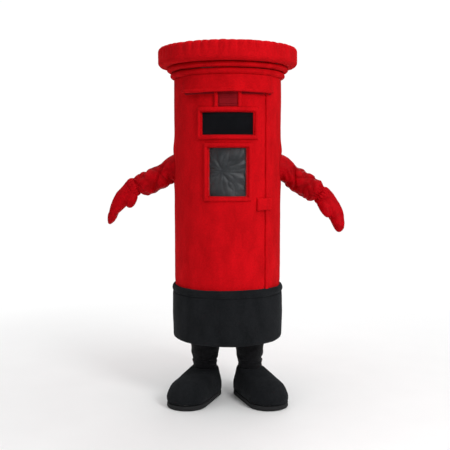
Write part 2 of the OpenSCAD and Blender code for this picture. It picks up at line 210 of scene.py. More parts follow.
def velour(name, deep, main, bright, rough):
    """Stretch velour: crushed patches whose pile lies different ways, a brighter sheen, and painted shade in its
    creases.
    """
    material, tree = start(name)
    crush = grain(tree, where(tree), 42, 5, 0.6)
    fine = grain(tree, where(tree), 1100, 2, 0.6)
    patch = between(tree, crush, 0.34, 0.66)
    shade = tint(tree, patch, colour(*deep), colour(*main))
    shade = tint(tree, between(tree, fine, 0.5, 0.8) * 0.35, shade, colour(*bright))
    # Painted shade: the crease attribute darkens the pile towards a deep red in the folds' valleys
    crease = node(tree, "ShaderNodeAttribute", {"attribute_name": "crease"}, output=2)
    shade = tint(tree, crease, shade, colour(0.20, 0.001, 0.002))
    coat(tree, shade, rough + patch * 0.14, crush * 0.8 + fine * 0.2, 0.18, 0.002, sheen_weight=0.01,
         sheen_roughness=0.35, sheen_tint=colour(1.0, 0.06, 0.06), specular_ior_level=0.03)
    return material


def knit(name, deep, main, scale, rough, sheen=0.06):
    """Knitted cloth: fine courses and wales."""
    material, tree = start(name)
    wales = ribs(tree, where(tree), scale, "Z")
    courses = ribs(tree, where(tree, (1, 1, 1), (0, 0, 0.7)), scale * 0.8, "X")
    uneven = grain(tree, where(tree), 60, 4)
    shade = tint(tree, between(tree, uneven, 0.35, 0.65), colour(*deep), colour(*main))
    height = wales * 0.4 + courses * 0.4 + uneven * 0.4
    coat(tree, shade, rough + uneven * 0.12, height, 0.4, 0.002, sheen_weight=sheen,
         sheen_roughness=0.5, specular_ior_level=0.15)
    return material


def satin(name):
    """Dark satin lining: smooth, with a fine diagonal twill and a silky gloss."""
    material, tree = start(name)
    twill = ribs(tree, where(tree, (1, 1, 1), (0, 0.8, 0)), 420, "X")
    soft = grain(tree, where(tree), 24, 4)
    dark, light = colour(0.014, 0.016, 0.019), colour(0.030, 0.033, 0.037)
    shade = tint(tree, between(tree, soft, 0.35, 0.68), dark, light)
    coat(tree, shade, 0.34 + soft * 0.14, twill * 0.1 + soft * 0.7, 0.1, 0.001, sheen_weight=0.03,
         sheen_roughness=0.3, specular_ior_level=0.28)
    return material


def sight_mesh(name):
    """Fine black mesh: crossed threads, with the holes between them painted near black as painted shade of the
    dark inside seen through them.
    """
    material, tree = start(name)
    up = ribs(tree, where(tree), 300, "Z")
    over = ribs(tree, where(tree), 300, "X")
    hole_mask = between(tree, up * over, 0.05, 0.5)
    cloud = grain(tree, where(tree), 9, 3)
    thread_tone = tint(tree, between(tree, cloud, 0.4, 0.7), colour(0.005, 0.006, 0.008), colour(0.010, 0.012, 0.015))
    # Painted shade: the holes are painted near black, for the dark inside seen through them
    shade = tint(tree, hole_mask, thread_tone, colour(0.002, 0.002, 0.003))
    coat(tree, shade, 0.62 + hole_mask * 0.2, 1 - hole_mask, 0.6, 0.001, specular_ior_level=0.08)
    return material


def clear_film(name):
    """Clear flexible film: nearly all of it is seen through, and the rest is a gloss with faint ripples."""
    material, tree = start(name)
    ripple = grain(tree, where(tree), 12, 2)
    bump = node(tree, "ShaderNodeBump", sockets={"Strength": 0.25, "Distance": 0.004, "Height": ripple})
    sockets = {"Base Color": colour(0.40, 0.42, 0.43), "Roughness": 0.08 + ripple * 0.10, "Normal": bump}
    gloss = node(tree, "ShaderNodeBsdfPrincipled", sockets=sockets)
    through = node(tree, "ShaderNodeBsdfTransparent")
    share = 0.015 + between(tree, ripple, 0.45, 0.7) * 0.03
    film = node(tree, "ShaderNodeMixShader", sockets={0: share, 1: through, 2: gloss})
    node(tree, "ShaderNodeOutputMaterial", sockets={"Surface": film})
    return material


def foam(name, deep, main):
    """Closed-cell foam: small rounded cells."""
    material, tree = start(name)
    cells = node(tree, "ShaderNodeTexVoronoi", sockets={"Vector": where(tree), "Scale": 420.0})
    stain = grain(tree, where(tree), 11, 4)
    shade = tint(tree, between(tree, stain, 0.35, 0.65), colour(*deep), colour(*main))
    coat(tree, shade, 0.82 + stain * 0.1, cells, 0.5, 0.001)
    return material


def webbing(name, deep, main, scale):
    """Woven strap: steep ribs crossed by the weft."""
    material, tree = start(name)
    warp = ribs(tree, where(tree), scale, "X")
    weft = ribs(tree, where(tree), scale * 0.7, "Z")
    worn = grain(tree, where(tree), 70, 3)
    weave = warp * 0.5 + weft * 0.5
    shade = tint(tree, between(tree, weave + worn * 0.3, 0.3, 0.95), colour(*deep), colour(*main))
    coat(tree, shade, 0.62 + worn * 0.2, weave, 0.7, 0.0015, specular_ior_level=0.35)
    return material


def moulded(name, deep, main, rough, grit, metal=0.0):
    """Moulded rubber, plastic or plated metal, with a faint grit and scuffed patches."""
    material, tree = start(name)
    scuff = grain(tree, where(tree), 38, 5, 0.65)
    fine = grain(tree, where(tree), 800, 2)
    worn = between(tree, scuff, 0.45, 0.7)
    shade = tint(tree, worn, colour(*deep), colour(*main))
    coat(tree, shade, rough + worn * 0.16, fine * grit + scuff * 0.3, 0.3, 0.0012, metallic=metal)
    return material


# Three shades of each pile: between the fibres, on them, and at their tips
REDS = (0.50, 0.002, 0.005), (0.72, 0.003, 0.008), (0.84, 0.012, 0.016)
VELOUR_REDS = (0.36, 0.001, 0.004), (0.54, 0.002, 0.007), (0.66, 0.005, 0.009)
DEEP_REDS = (0.20, 0.004, 0.008), (0.30, 0.008, 0.013), (0.40, 0.02, 0.026)
BLACKS = (0.006, 0.007, 0.008), (0.013, 0.014, 0.016), (0.030, 0.032, 0.035)
finishes = {
    "red_plush": pile_cloth("red_plush", *REDS, 120, 0.92, 0.02, (1.0, 0.10, 0.08)),
    "red_velour": velour("red_velour", *VELOUR_REDS, 0.44),
    # Also used for the painted shadows round the sewn pieces, under the hood's lip and down the door's seam
    "deep_red_felt": pile_cloth("deep_red_felt", *DEEP_REDS, 90, 0.95, 0.05, (1.0, 0.3, 0.3)),
    "black_plush": pile_cloth("black_plush", *BLACKS, 110, 0.94, 0.06, (0.5, 0.52, 0.56)),
    "black_jersey": knit("black_jersey", (0.005, 0.005, 0.006), (0.011, 0.011, 0.013), 320, 0.78),
    "foam_sheet": foam("foam_sheet", (0.44, 0.43, 0.41), (0.58, 0.57, 0.55)),
    "vision_mesh": sight_mesh("vision_mesh"),
    "clear_film": clear_film("clear_film"),
    "dark_lining": satin("dark_lining"),
    "webbing": webbing("webbing", (0.006, 0.006, 0.007), (0.030, 0.030, 0.033), 260),
    "strap_padding": knit("strap_padding", (0.012, 0.012, 0.014), (0.028, 0.028, 0.031), 240, 0.8),
    "elastic": webbing("elastic", (0.006, 0.006, 0.007), (0.024, 0.024, 0.026), 190),
    "red_elastic": knit("red_elastic", (0.30, 0.004, 0.007), (0.52, 0.008, 0.013), 200, 0.7),
    "hoop_plastic": moulded("hoop_plastic", (0.020, 0.020, 0.022), (0.035, 0.035, 0.038), 0.42, 0.3),
    "zip_tape": webbing("zip_tape", (0.26, 0.004, 0.008), (0.45, 0.010, 0.015), 330),
    "zip_metal": moulded("zip_metal", (0.42, 0.43, 0.45), (0.62, 0.63, 0.66), 0.28, 0.2, 1.0),
    "sole_rubber": moulded("sole_rubber", (0.007, 0.007, 0.008), (0.014, 0.014, 0.016), 0.86, 0.8),
}


# ---------------------------------------------------------------- making pieces

def thicken(piece, wall):
    """Gives a sheet its thickness, inwards."""
    made = piece.modifiers.new("wall", "SOLIDIFY")
    made.thickness = wall
    made.offset = -1


def shade_smooth(mesh):
    mesh.polygons.foreach_set("use_smooth", [True] * len(mesh.polygons))


def sewn(name, bm, slot, body=None, stands_for=(), thick=0.0):
    """Turns finished cloth or foam into a piece, gives it its finish and says what it rides on."""
    mesh = bpy.data.meshes.new(name + "_made")
    bm.to_mesh(mesh)
    bm.free()
    shade_smooth(mesh)
    mesh.materials.append(finishes[slot])
    piece = bpy.data.objects.new(name + "_made", mesh)
    bpy.context.scene.collection.objects.link(piece)
    if thick:
        thicken(piece, thick)
    if stands_for:
        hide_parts(*stands_for)
    if body:
        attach(piece, body)
    return piece


def paint_crease_shade(piece, depths):
    """Notes how deep in a crease each vertex lies, from 0 to 1, as painted shade that darkens the pile there."""
    layer = piece.data.attributes.new("crease", "FLOAT", "POINT")
    layer.data.foreach_set("value", [max(0.0, min(1.0, depth)) for depth in depths])


def settle(piece):
    """Applies the piece's modifiers to its mesh."""
    bpy.context.view_layer.update()
    seen = piece.evaluated_get(bpy.context.evaluated_depsgraph_get())
    mesh = bpy.data.meshes.new_from_object(seen)
    old = piece.data
    piece.modifiers.clear()
    piece.data = mesh
    bpy.data.meshes.remove(old)
    shade_smooth(mesh)


def spun(profile, steps=192, turn=TURN, start_at=0.0, closed=False):
    """A profile of (radius, height) pairs turned about the barrel's axis. Angles start at the front."""
    bm = bmesh.new()
    line = [bm.verts.new((r * math.sin(start_at), -r * math.cos(start_at), z)) for r, z in profile]
    ends = line[1:] + (line[:1] if closed else [])
    edges = [bm.edges.new(pair) for pair in zip(line, ends)]
    whole = turn == TURN
    bmesh.ops.spin(bm, geom=line + edges, axis=(0, 0, 1), cent=(0, 0, 0), angle=turn, steps=steps,
                   use_merge=whole)
    bmesh.ops.remove_doubles(bm, verts=bm.verts[:], dist=1e-6)
    if closed and not whole:
        bmesh.ops.holes_fill(bm, edges=[e for e in bm.edges if e.is_boundary], sides=0)
    bmesh.ops.recalc_face_normals(bm, faces=bm.faces[:])
    return bm


def bearing(point):
    """Angle from the front towards +X."""
    return math.atan2(point.x, -point.y)


def push_out(point, distance):
    """Moves a point straight away from the barrel's axis."""
    radius = math.hypot(point.x, point.y)
    if radius > 1e-6:
        point.x *= 1 + distance / radius
        point.y *= 1 + distance / radius


def lump(point, size, seed=0.0):
    """Smooth unevenness of about -1 to 1, with lumps of about this size in metres."""
    return noise.noise(Vector((point.x / size + seed, point.y / size, point.z / size - seed)))


def ruffle(bm, size, depth, seed=0.0):
    """Soft unevenness of hand-covered foam, along each vertex's normal."""
    bm.normal_update()
    moves = [v.normal * (depth * (lump(v.co, size, seed) + 0.4 * lump(v.co, size / 3, seed + 5)))
             for v in bm.verts]
    for v, move in zip(bm.verts, moves):
        v.co += move


def slice_at(bm, near, place, way):
    """Cuts the faces that near() picks along a plane."""
    faces = [f for f in bm.faces if near(f.calc_center_median())]
    edges = list({e for f in faces for e in f.edges})
    verts = list({v for f in faces for v in f.verts})
    bmesh.ops.bisect_plane(bm, geom=faces + edges + verts, plane_co=place, plane_no=way, dist=1e-5)


def open_up(bm, half, z0, z1, face=0):
    """Cuts a straight-sided hole, on the front (-1), the back (1) or through a flat panel (0)."""
    def near(c, more=0.03):
        here = face == 0 or c.y * face > 0
        return here and abs(c.x) < half + more and z0 - more < c.z < z1 + more
    for x in (-half, half):
        slice_at(bm, near, (x, 0, 0), (1, 0, 0))
    for z in (z0, z1):
        slice_at(bm, near, (0, 0, z), (0, 0, 1))
    inside = [f for f in bm.faces if near(f.calc_center_median(), 0)]
    bmesh.ops.delete(bm, geom=inside, context="FACES")


def flat_grid(x0, x1, z0, z1, cell):
    """A flat panel that faces the front, ready to be shaped and wrapped round the barrel."""
    bm = bmesh.new()
    middle = Matrix.Translation(((x0 + x1) / 2, 0, (z0 + z1) / 2))
    size = Matrix.Diagonal(((x1 - x0) / 2, (z1 - z0) / 2, 1, 1))
    across, along = (max(2, round(span / cell)) for span in (x1 - x0, z1 - z0))
    matrix = middle @ Matrix.Rotation(math.radians(90), 4, "X") @ size
    bmesh.ops.create_grid(bm, x_segments=across, y_segments=along, size=1, matrix=matrix)
    return bm


def wrap(bm, radius):
    """Bends a flat panel round the barrel. How far it stands forward becomes how far it stands out."""
    for v in bm.verts:
        angle = math.asin(max(-1.0, min(1.0, v.co.x / radius)))
        reach = radius - v.co.y
        v.co = Vector((reach * math.sin(angle), -reach * math.cos(angle), v.co.z))
    bmesh.ops.recalc_face_normals(bm, faces=bm.faces[:])
    middles = [f.calc_center_median() for f in bm.faces]
    outward = sum(f.normal.dot(Vector((c.x, c.y, 0))) for f, c in zip(bm.faces, middles))
    if outward < 0:
        bmesh.ops.reverse_faces(bm, faces=bm.faces[:])


def round_over(distance, roll):
    """Height, from 0 to 1, of padding that is rolled down to an edge at this distance."""
    t = min(1.0, max(0.0, distance / roll))
    return math.sqrt(1 - (1 - t) ** 2)


def quilt(x0, x1, z0, z1, depth, roll, opening=None, cell=0.0027, seed=0.0, radius=None):
    """A padded panel sewn to the barrel: rolled down to every edge, with mitred corners round its opening."""
    bm = flat_grid(x0, x1, z0, z1, cell)
    if opening:
        open_up(bm, *opening)
    for v in bm.verts:
        x, z = v.co.x, v.co.z
        edge = min(x - x0, x1 - x, z - z0, z1 - z)
        if opening:
            half, low, high = opening
            edge = min(edge, max(abs(x) - half, low - z, z - high))
        uneven = 0.10 * lump(v.co, 0.05, seed) + 0.06 * lump(v.co, 0.014, seed)
        v.co.y = -depth * round_over(edge, roll) * (1 + uneven)
        v.co.x += 0.0012 * lump(v.co, 0.03, seed + 3)
        v.co.z += 0.0012 * lump(v.co, 0.03, seed + 7)
    wrap(bm, radius or BARREL_R - 0.0015)
    return bm


# ---------------------------------------------------------------- barrel

BARREL_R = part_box("barrel_cover")[1].x
COVER_LOW, COVER_TOP = (corner.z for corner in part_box("barrel_cover"))
ARM_Z = joints["shoulder_left"]["pos_m"][2]
ARMHOLE_R = 0.077
DOOR_EDGE = math.radians(42)
SEAM_GROOVE, SEAM_RIDGE = 0.0058, 0.0034  # how deep the door's seam sinks, and how high its sides swell
ARM_BULGE_ABOVE, ARM_BULGE_BELOW = 0.007, 0.003  # how far the cover swells round an armhole
HEM_PINCH = 0.003  # how far the roll at the foot pulls the cover in
slot_low, slot_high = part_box("vision_mesh")
window_low, window_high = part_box("window_film")
lock_low, lock_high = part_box("lock_block")
hood_low, hood_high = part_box("hood_band")
base_low, base_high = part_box("base_band")
hem_low, hem_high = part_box("base_hem")
zip_low, zip_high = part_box("zip_tape")


def seam_wander(z):
    """The door's sewn edge drifts a few millimetres below the lock block, and hardly above it."""
    drift, length = (0.0035, 0.07) if z < lock_low.z else (0.001, 0.2)
    return drift * noise.noise(Vector((0, 3, z / length)))


def barrel_cover():
    """The plush cover of the barrel, with its openings, its armholes and the door's seam drawn in."""
    def beside_door(c):
        return abs(bearing(c) - DOOR_EDGE) < 0.12

    def in_armhole(c):
        return math.hypot(c.y, c.z - ARM_Z) < ARMHOLE_R
    rows = 156
    step = (COVER_TOP - COVER_LOW) / rows
    bm = spun([(BARREL_R, COVER_LOW + step * row) for row in range(rows + 1)], steps=240)
    for offset in (-0.016, -0.009, -0.0055, -0.003, -0.001, 0.001, 0.003, 0.0055, 0.009, 0.016):
        angle = DOOR_EDGE + offset / BARREL_R
        slice_at(bm, beside_door, (0, 0, 0), (math.cos(angle), math.sin(angle), 0))
    open_up(bm, slot_high.x, slot_low.z, slot_high.z, -1)
    open_up(bm, window_high.x, window_low.z, window_high.z, -1)
    open_up(bm, zip_high.x, zip_low.z, zip_high.z, 1)
    holes = [f for f in bm.faces if in_armhole(f.calc_center_median())]
    bmesh.ops.delete(bm, geom=holes, context="FACES")
    for v in bm.verts:
        spread = math.hypot(v.co.y, v.co.z - ARM_Z)
        if v.is_boundary and spread < ARMHOLE_R + 0.02 and abs(v.co.x) > 0.2:
            v.co.y *= ARMHOLE_R / spread
            v.co.z = ARM_Z + (v.co.z - ARM_Z) * ARMHOLE_R / spread
            v.co.x = math.copysign(math.sqrt(BARREL_R ** 2 - v.co.y ** 2), v.co.x)
    for v in bm.verts:
        z, angle = v.co.z, bearing(v.co)
        gap = (angle - DOOR_EDGE) * BARREL_R - seam_wander(z)
        out = 0.0016 * lump(v.co, 0.16, 2) + 0.0006 * lump(v.co, 0.035, 4)
        if z < hood_low.z + 0.012 and abs(gap) < 0.05:
            out -= SEAM_GROOVE * math.exp(-(gap / 0.0030) ** 2)
            out += SEAM_RIDGE * math.exp(-((abs(gap) - 0.0085) / 0.0055) ** 2)
        sides = math.exp(-(v.co.y / 0.085) ** 2)
        out += ARM_BULGE_ABOVE * sides * math.exp(-((z - ARM_Z - 0.095) / 0.045) ** 2)
        out += ARM_BULGE_BELOW * sides * math.exp(-((z - ARM_Z + 0.095) / 0.035) ** 2)
        out -= HEM_PINCH * math.exp(-(max(0.0, z - hem_high.z) / 0.02) ** 2)
        push_out(v.co, out)
    cover = sewn("barrel_cover", bm, "red_plush", "shell", ["barrel_cover"], thick=PLUSH)


def base_band():
    """The black band round the foot of the barrel, with its return underneath."""
    reach = base_high.x - 0.005
    low, top = base_low.z, base_high.z
    bore = BARREL_R - 0.026
    profile = [(bore, low + 0.004), (bore + 0.004, low), (reach - 0.018, low), (reach - 0.010, low + 0.002),
               (reach - 0.004, low + 0.007), (reach - 0.001, low + 0.014)]
    rows = 34
    for row in range(rows + 1):
        t = row / rows
        profile.append((reach + 0.0015 * math.sin(math.pi * t), low + 0.022 + (top - low - 0.030) * t))
    profile += [(reach - 0.002, top - 0.004), (reach - 0.008, top), (BARREL_R - 0.004, top),
                (BARREL_R - 0.006, low + 0.012), (bore, low + 0.010)]
    bm = spun(profile, steps=220, closed=True)
    ruffle(bm, 0.11, 0.0022, 9)
    sewn("base_band", bm, "black_plush", "shell", ["base_band"])


def base_hem():
    """The padded roll along the band's top edge."""
    low, top = hem_low.z - 0.002, hem_high.z
    reach = hem_high.x + 0.0035
    profile = [(BARREL_R - 0.004, low)]
    steps = 18
    for i in range(steps + 1):
        t = i / steps
        swell = math.sin(math.pi * min(1.0, 0.06 + 0.94 * t)) ** 0.42
        profile.append((BARREL_R - 0.001 + (reach - BARREL_R) * swell, low + (top - low) * t))
    profile.append((BARREL_R - 0.004, top - 0.003))
    bm = spun(profile, steps=240, closed=True)
    for v in bm.verts:
        angle = bearing(v.co)
        share = (v.co.z - low) / (top - low)
        v.co.z += 0.0022 * share * math.sin(3 * angle + 0.6) + 0.0012 * lump(v.co, 0.06, 3)
        push_out(v.co, 0.0009 * math.sin(96 * angle) * (1 - share) ** 2)
    ruffle(bm, 0.06, 0.0011, 6)
    sewn("base_hem", bm, "black_plush", "shell", ["base_hem"])


# ---------------------------------------------------------------- cap and cornice

cap_low, cap_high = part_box("cap_rim_cover")
top_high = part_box("cap_top_cover")[1]
PUCKERS, PUCKER_DEPTH = 48, 0.0100


def pucker(angle):
    """How deep the gathers of the rim are at an angle, from 0 to 1."""
    turn = angle * PUCKERS + 1.9 * noise.noise(Vector((math.sin(angle) * 6, math.cos(angle) * 6, 0)))
    depth = 0.65 + 0.35 * noise.noise(Vector((math.sin(angle) * 11, math.cos(angle) * 11, 4)))
    return depth * (0.5 + 0.5 * math.cos(turn)) ** 2.4


def cap_rim():
    """The plush round the cap's edge, gathered over the top in puckers."""
    reach, low, top = cap_high.x - 0.001, cap_low.z, cap_high.z
    under, over = 0.024, 0.020
    profile = [(BARREL_R - 0.010, low + 0.002), (BARREL_R + 0.03, low), (reach - under - 0.02, low)]
    for i in range(11):
        a = math.radians(9 * i)
        profile.append((reach - under + under * math.sin(a), low + under - under * math.cos(a)))
    for i in range(1, 12):
        profile.append((reach, low + under + (top - low - under - over) * i / 12))
    for i in range(11):
        a = math.radians(9 * i)
        profile.append((reach - over + over * math.cos(a), top - over + over * math.sin(a)))
    profile += [(reach - over - 0.012, top + 0.0005)]
    bm = spun(profile, steps=576)
    for v in bm.verts:
        share = max(0.0, min(1.0, (v.co.z - low - 0.018) / (top - low - 0.03)))
        radius = math.hypot(v.co.x, v.co.y)
        rim = max(0.0, min(1.0, (radius - reach + 0.05) / 0.03))
        dent = pucker(bearing(v.co)) * share ** 1.3 * rim
        push_out(v.co, -PUCKER_DEPTH * dent)
        v.co.z -= 0.0022 * dent * max(0.0, share - 0.75) * 4
    ruffle(bm, 0.07, 0.0014, 12)
    sewn("cap_rim_cover", bm, "red_plush", "shell", ["cap_rim_cover"], thick=PLUSH)


def cap_top():
    """The low padded dome on top of the cap."""
    reach, base, rise = cap_high.x - 0.030, cap_high.z, top_high.z - cap_high.z
    profile = [(0.0, base + rise)]
    rings = 34
    for i in range(1, rings + 1):
        t = i / rings
        drop = 0.004 * math.exp(-((1 - t) * reach / 0.006) ** 2)
        profile.append((reach * t, base + 0.0015 + (rise - 0.0015) * (1 - t ** 2.2) - drop))
    bm = spun(profile, steps=288)
    for v in bm.verts:
        t = math.hypot(v.co.x, v.co.y) / reach
        v.co.z -= 0.0016 * pucker(bearing(v.co)) * t ** 10
    ruffle(bm, 0.13, 0.0022, 15)
    sewn("cap_top_cover", bm, "red_plush", "shell", ["cap_top_cover"], thick=PLUSH)


def cap_foam():
    """The cap's foam: a floor, a wall and a roof, rounded where the plush rolls over them."""
    floor_low, floor_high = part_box("cap_floor")
    roof_low, roof_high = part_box("cap_roof")
    sheet = floor_high.z - floor_low.z
    reach = floor_high.x - 0.012
    corner = 0.024
    lowest, highest = floor_low.z + 0.001, roof_high.z - 0.002

    def bend(sign, z):
        turns = [math.radians(a) for a in range(0, 91, 15)]
        return [(reach - corner + corner * math.sin(a), z - sign * corner * math.cos(a)) for a in turns]
    under = [(0.0, lowest)] + bend(1, lowest + corner)
    over = bend(-1, highest - corner)
    inner = reach - sheet - 0.004
    floor_lip, roof_lip = floor_high.z + 0.009, roof_low.z - 0.009
    foot, head = floor_high.z + 0.0095, roof_low.z - 0.0095
    floor = under + [(reach, floor_lip), (inner, floor_lip), (inner, floor_high.z), (0.0, floor_high.z)]
    sewn("cap_floor_foam", spun(floor, steps=96), "foam_sheet", "shell", ["cap_floor"])
    wall = [(reach, foot), (reach, head), (inner, head), (inner, foot)]
    sewn("cap_wall_foam", spun(wall, steps=96, closed=True), "foam_sheet", "shell", ["cap_wall"])
    roof = [(0.0, highest)] + over + [(reach, roof_lip), (inner, roof_lip), (inner, roof_low.z)]
    roof.append((0.0, roof_low.z))
    sewn("cap_roof_foam", spun(roof, steps=96), "foam_sheet", "shell", ["cap_roof"])


def cornice(name, seed):
    """One of the two padded rings under the cap, with a rounded nose."""
    low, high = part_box(name)
    nose = (high.z - low.z) / 2
    round_r = nose * 1.25
    reach = high.x
    inside = BARREL_R - 0.006
    profile = [(inside, low.z + 0.001)]
    for i in range(19):
        a = math.radians(-90 + 10 * i)
        profile.append((reach - round_r + round_r * math.cos(a), low.z + nose + nose * 0.97 * math.sin(a)))
    profile.append((inside, high.z - 0.001))
    bm = spun(profile, steps=264, closed=True)
    ruffle(bm, 0.08, 0.0013, seed)
    for v in bm.verts:
        v.co.z = min(max(v.co.z, low.z - 0.002), high.z + 0.001)
    sewn(name, bm, "red_plush", "shell", [name])


HOOD_HALF = math.radians(52)  # half the angle that the hood spans
HOOD_REACH, HOOD_LIP = 0.039, 0.0088  # how far the lip stands out, and its rolled radius


def hood():
    """The band over the slot, which stands out in a rolled lip and dies into the barrel at its ends, with a
    painted shadow under the lip.
    """
    half, lip = HOOD_HALF, HOOD_LIP
    top, low = hood_high.z, hood_low.z
    reach = BARREL_R + HOOD_REACH
    profile = [(BARREL_R - 0.004, top + 0.002), (BARREL_R + 0.010, top + 0.001)]
    rows = 20
    for i in range(rows + 1):
        t = i / rows
        profile.append((BARREL_R + 0.0075 + 0.0145 * t ** 2.2, top - (top - low - 2.2 * lip) * t))
    for i in range(13):
        a = math.radians(60 - 20 * i)
        profile.append((reach - lip + lip * math.cos(a), low + lip + lip * math.sin(a)))
    profile += [(BARREL_R + 0.006, low + 0.012), (BARREL_R - 0.004, low + 0.016)]
    bm = spun(profile, steps=150, turn=2 * half, start_at=-half, closed=True)
    for v in bm.verts:
        angle = bearing(v.co)
        end = max(0.0, 1 - (half - abs(angle)) * BARREL_R / 0.055)
        radius = math.hypot(v.co.x, v.co.y)
        push_out(v.co, -(radius - BARREL_R) * 0.62 * end ** 2)
        down = max(0.0, min(1.0, (top - v.co.z) / (top - low)))
        v.co.z += down * (0.004 * end ** 2 + 0.0022 * math.sin(5 * angle + 1) * down)
        push_out(v.co, 0.0016 * down * math.sin(11 * angle + 0.5))
    ruffle(bm, 0.06, 0.0012, 21)
    # Painted shadow: a strip of dark felt under the lip, where shade falls
    under = [(BARREL_R + out, low + up) for out, up in (
        (0.0003, -0.0075), (0.0020, -0.004), (0.0035, 0.004),
        (0.0045, 0.016), (-0.002, 0.018), (-0.002, -0.0075))]
    shade = spun(under, steps=120, turn=1.9 * half, start_at=-0.95 * half, closed=True)
    sewn("hood_painted_shadow", shade, "deep_red_felt", "shell")
    sewn("hood_band", bm, "red_plush", "shell", ["hood_band"])


# ---------------------------------------------------------------- front trim

bars_low, bars_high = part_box("tablet_bars")
plate_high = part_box("tablet_plate")[1]
frame_low, frame_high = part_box("slot_frame")
sash_low, sash_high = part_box("window_frame")


def join(*parts):
    """One bmesh out of several."""
    whole = parts[0]
    for part in parts[1:]:
        mesh = bpy.data.meshes.new("part")
        part.to_mesh(mesh)
        part.free()
        whole.from_mesh(mesh)
        bpy.data.meshes.remove(mesh)
    return whole


PAD, ROLL, SASH_ROLL = 0.0150, 0.0085, 0.0090  # how far the padded frames stand out, and how they round off
SHADOW_BELOW_LEFT, SHADOW_ABOVE_RIGHT = 0.0042, 0.003  # how far the painted seam shadow shows below and at -X, where shade falls, and above and at +X
UNDER = 0.004  # how far it reaches under the piece


def seam_shadow(boxes):
    """A painted shadow: a thin strip of darker felt round each piece sewn to the barrel, wider below and at -X
    where shade falls.
    """
    strips = [quilt(*box, 0.0014, 0.002, cell=0.006, seed=90 + i) for i, box in enumerate(boxes)]
    sewn("painted_seam_shadow", join(*strips), "deep_red_felt", "shell")


def front_trim():
    """The blank tablet between its bars, and the padded frames of the slot and the window, with painted seam
    shadow round them.
    """
    outer = bars_high.x
    inner = plate_high.x
    foot, head = bars_low.z - 0.004, hood_low.z + 0.010
    ledge = slot_high.x
    sill = window_high.x
    # Boxes of painted seam shadow round the two frames and the bars
    boxes = []
    for pad_low, pad_high, hole_x, hole_low, hole_high in (
            (frame_low, frame_high, ledge, slot_low.z, slot_high.z),
            (sash_low, sash_high, sill, window_low.z, window_high.z)):
        foot_z, head_z = pad_low.z - SHADOW_BELOW_LEFT, pad_high.z + SHADOW_ABOVE_RIGHT
        boxes += [
            (-pad_high.x - SHADOW_BELOW_LEFT, -hole_x - UNDER, foot_z, head_z),
            (hole_x + UNDER, pad_high.x + SHADOW_ABOVE_RIGHT, foot_z, head_z),
            (-hole_x - UNDER, hole_x + UNDER, foot_z, hole_low - UNDER),
            (-hole_x - UNDER, hole_x + UNDER, hole_high + UNDER, head_z),
        ]
    boxes += [(-outer - 0.004, -inner, foot, head), (inner, outer + SHADOW_ABOVE_RIGHT, foot, head)]
    seam_shadow(boxes)
    bars = join(
        quilt(-outer, -inner + 0.001, foot, head, PAD, ROLL, seed=1),
        quilt(inner - 0.001, outer, foot, head, PAD, ROLL, seed=2),
    )
    sewn("tablet_bars", bars, "red_plush", "shell", ["tablet_bars"], thick=TRIM)
    plate = join(
        quilt(-inner - 0.004, inner + 0.004, foot + 0.004, head, 0.0035, 0.004, seed=4),
        quilt(-inner + 0.003, inner - 0.003, foot + 0.017, head - 0.036, 0.0062, 0.004, seed=5),
    )
    sewn("tablet_plate", plate, "deep_red_felt", "shell", ["tablet_plate"], thick=STRETCH)
    slot_frame = quilt(-frame_high.x, frame_high.x, frame_low.z, frame_high.z, PAD, ROLL,
                       opening=(slot_high.x, slot_low.z, slot_high.z), seed=6)
    sewn("slot_frame", slot_frame, "red_plush", "shell", ["slot_frame"], thick=TRIM)
    sash = quilt(-sash_high.x, sash_high.x, sash_low.z, sash_high.z, PAD, SASH_ROLL,
                 opening=(window_high.x, window_low.z, window_high.z), seed=8)
    sewn("window_frame", sash, "red_plush", "shell", ["window_frame"], thick=TRIM)


def jamb(name, half, low, high, depth, slot):
    """The cloth that lines the thickness of the wall round an opening."""
    bm = flat_grid(-half, half, low, high, 0.006)
    open_up(bm, half - 0.0025, low + 0.0025, high - 0.0025)
    top = bmesh.ops.extrude_face_region(bm, geom=bm.faces[:])["geom"]
    for v in (g for g in top if isinstance(g, bmesh.types.BMVert)):
        v.co.y = depth
    wrap(bm, BARREL_R)
    bmesh.ops.recalc_face_normals(bm, faces=bm.faces[:])
    sewn(name, bm, slot, "shell")


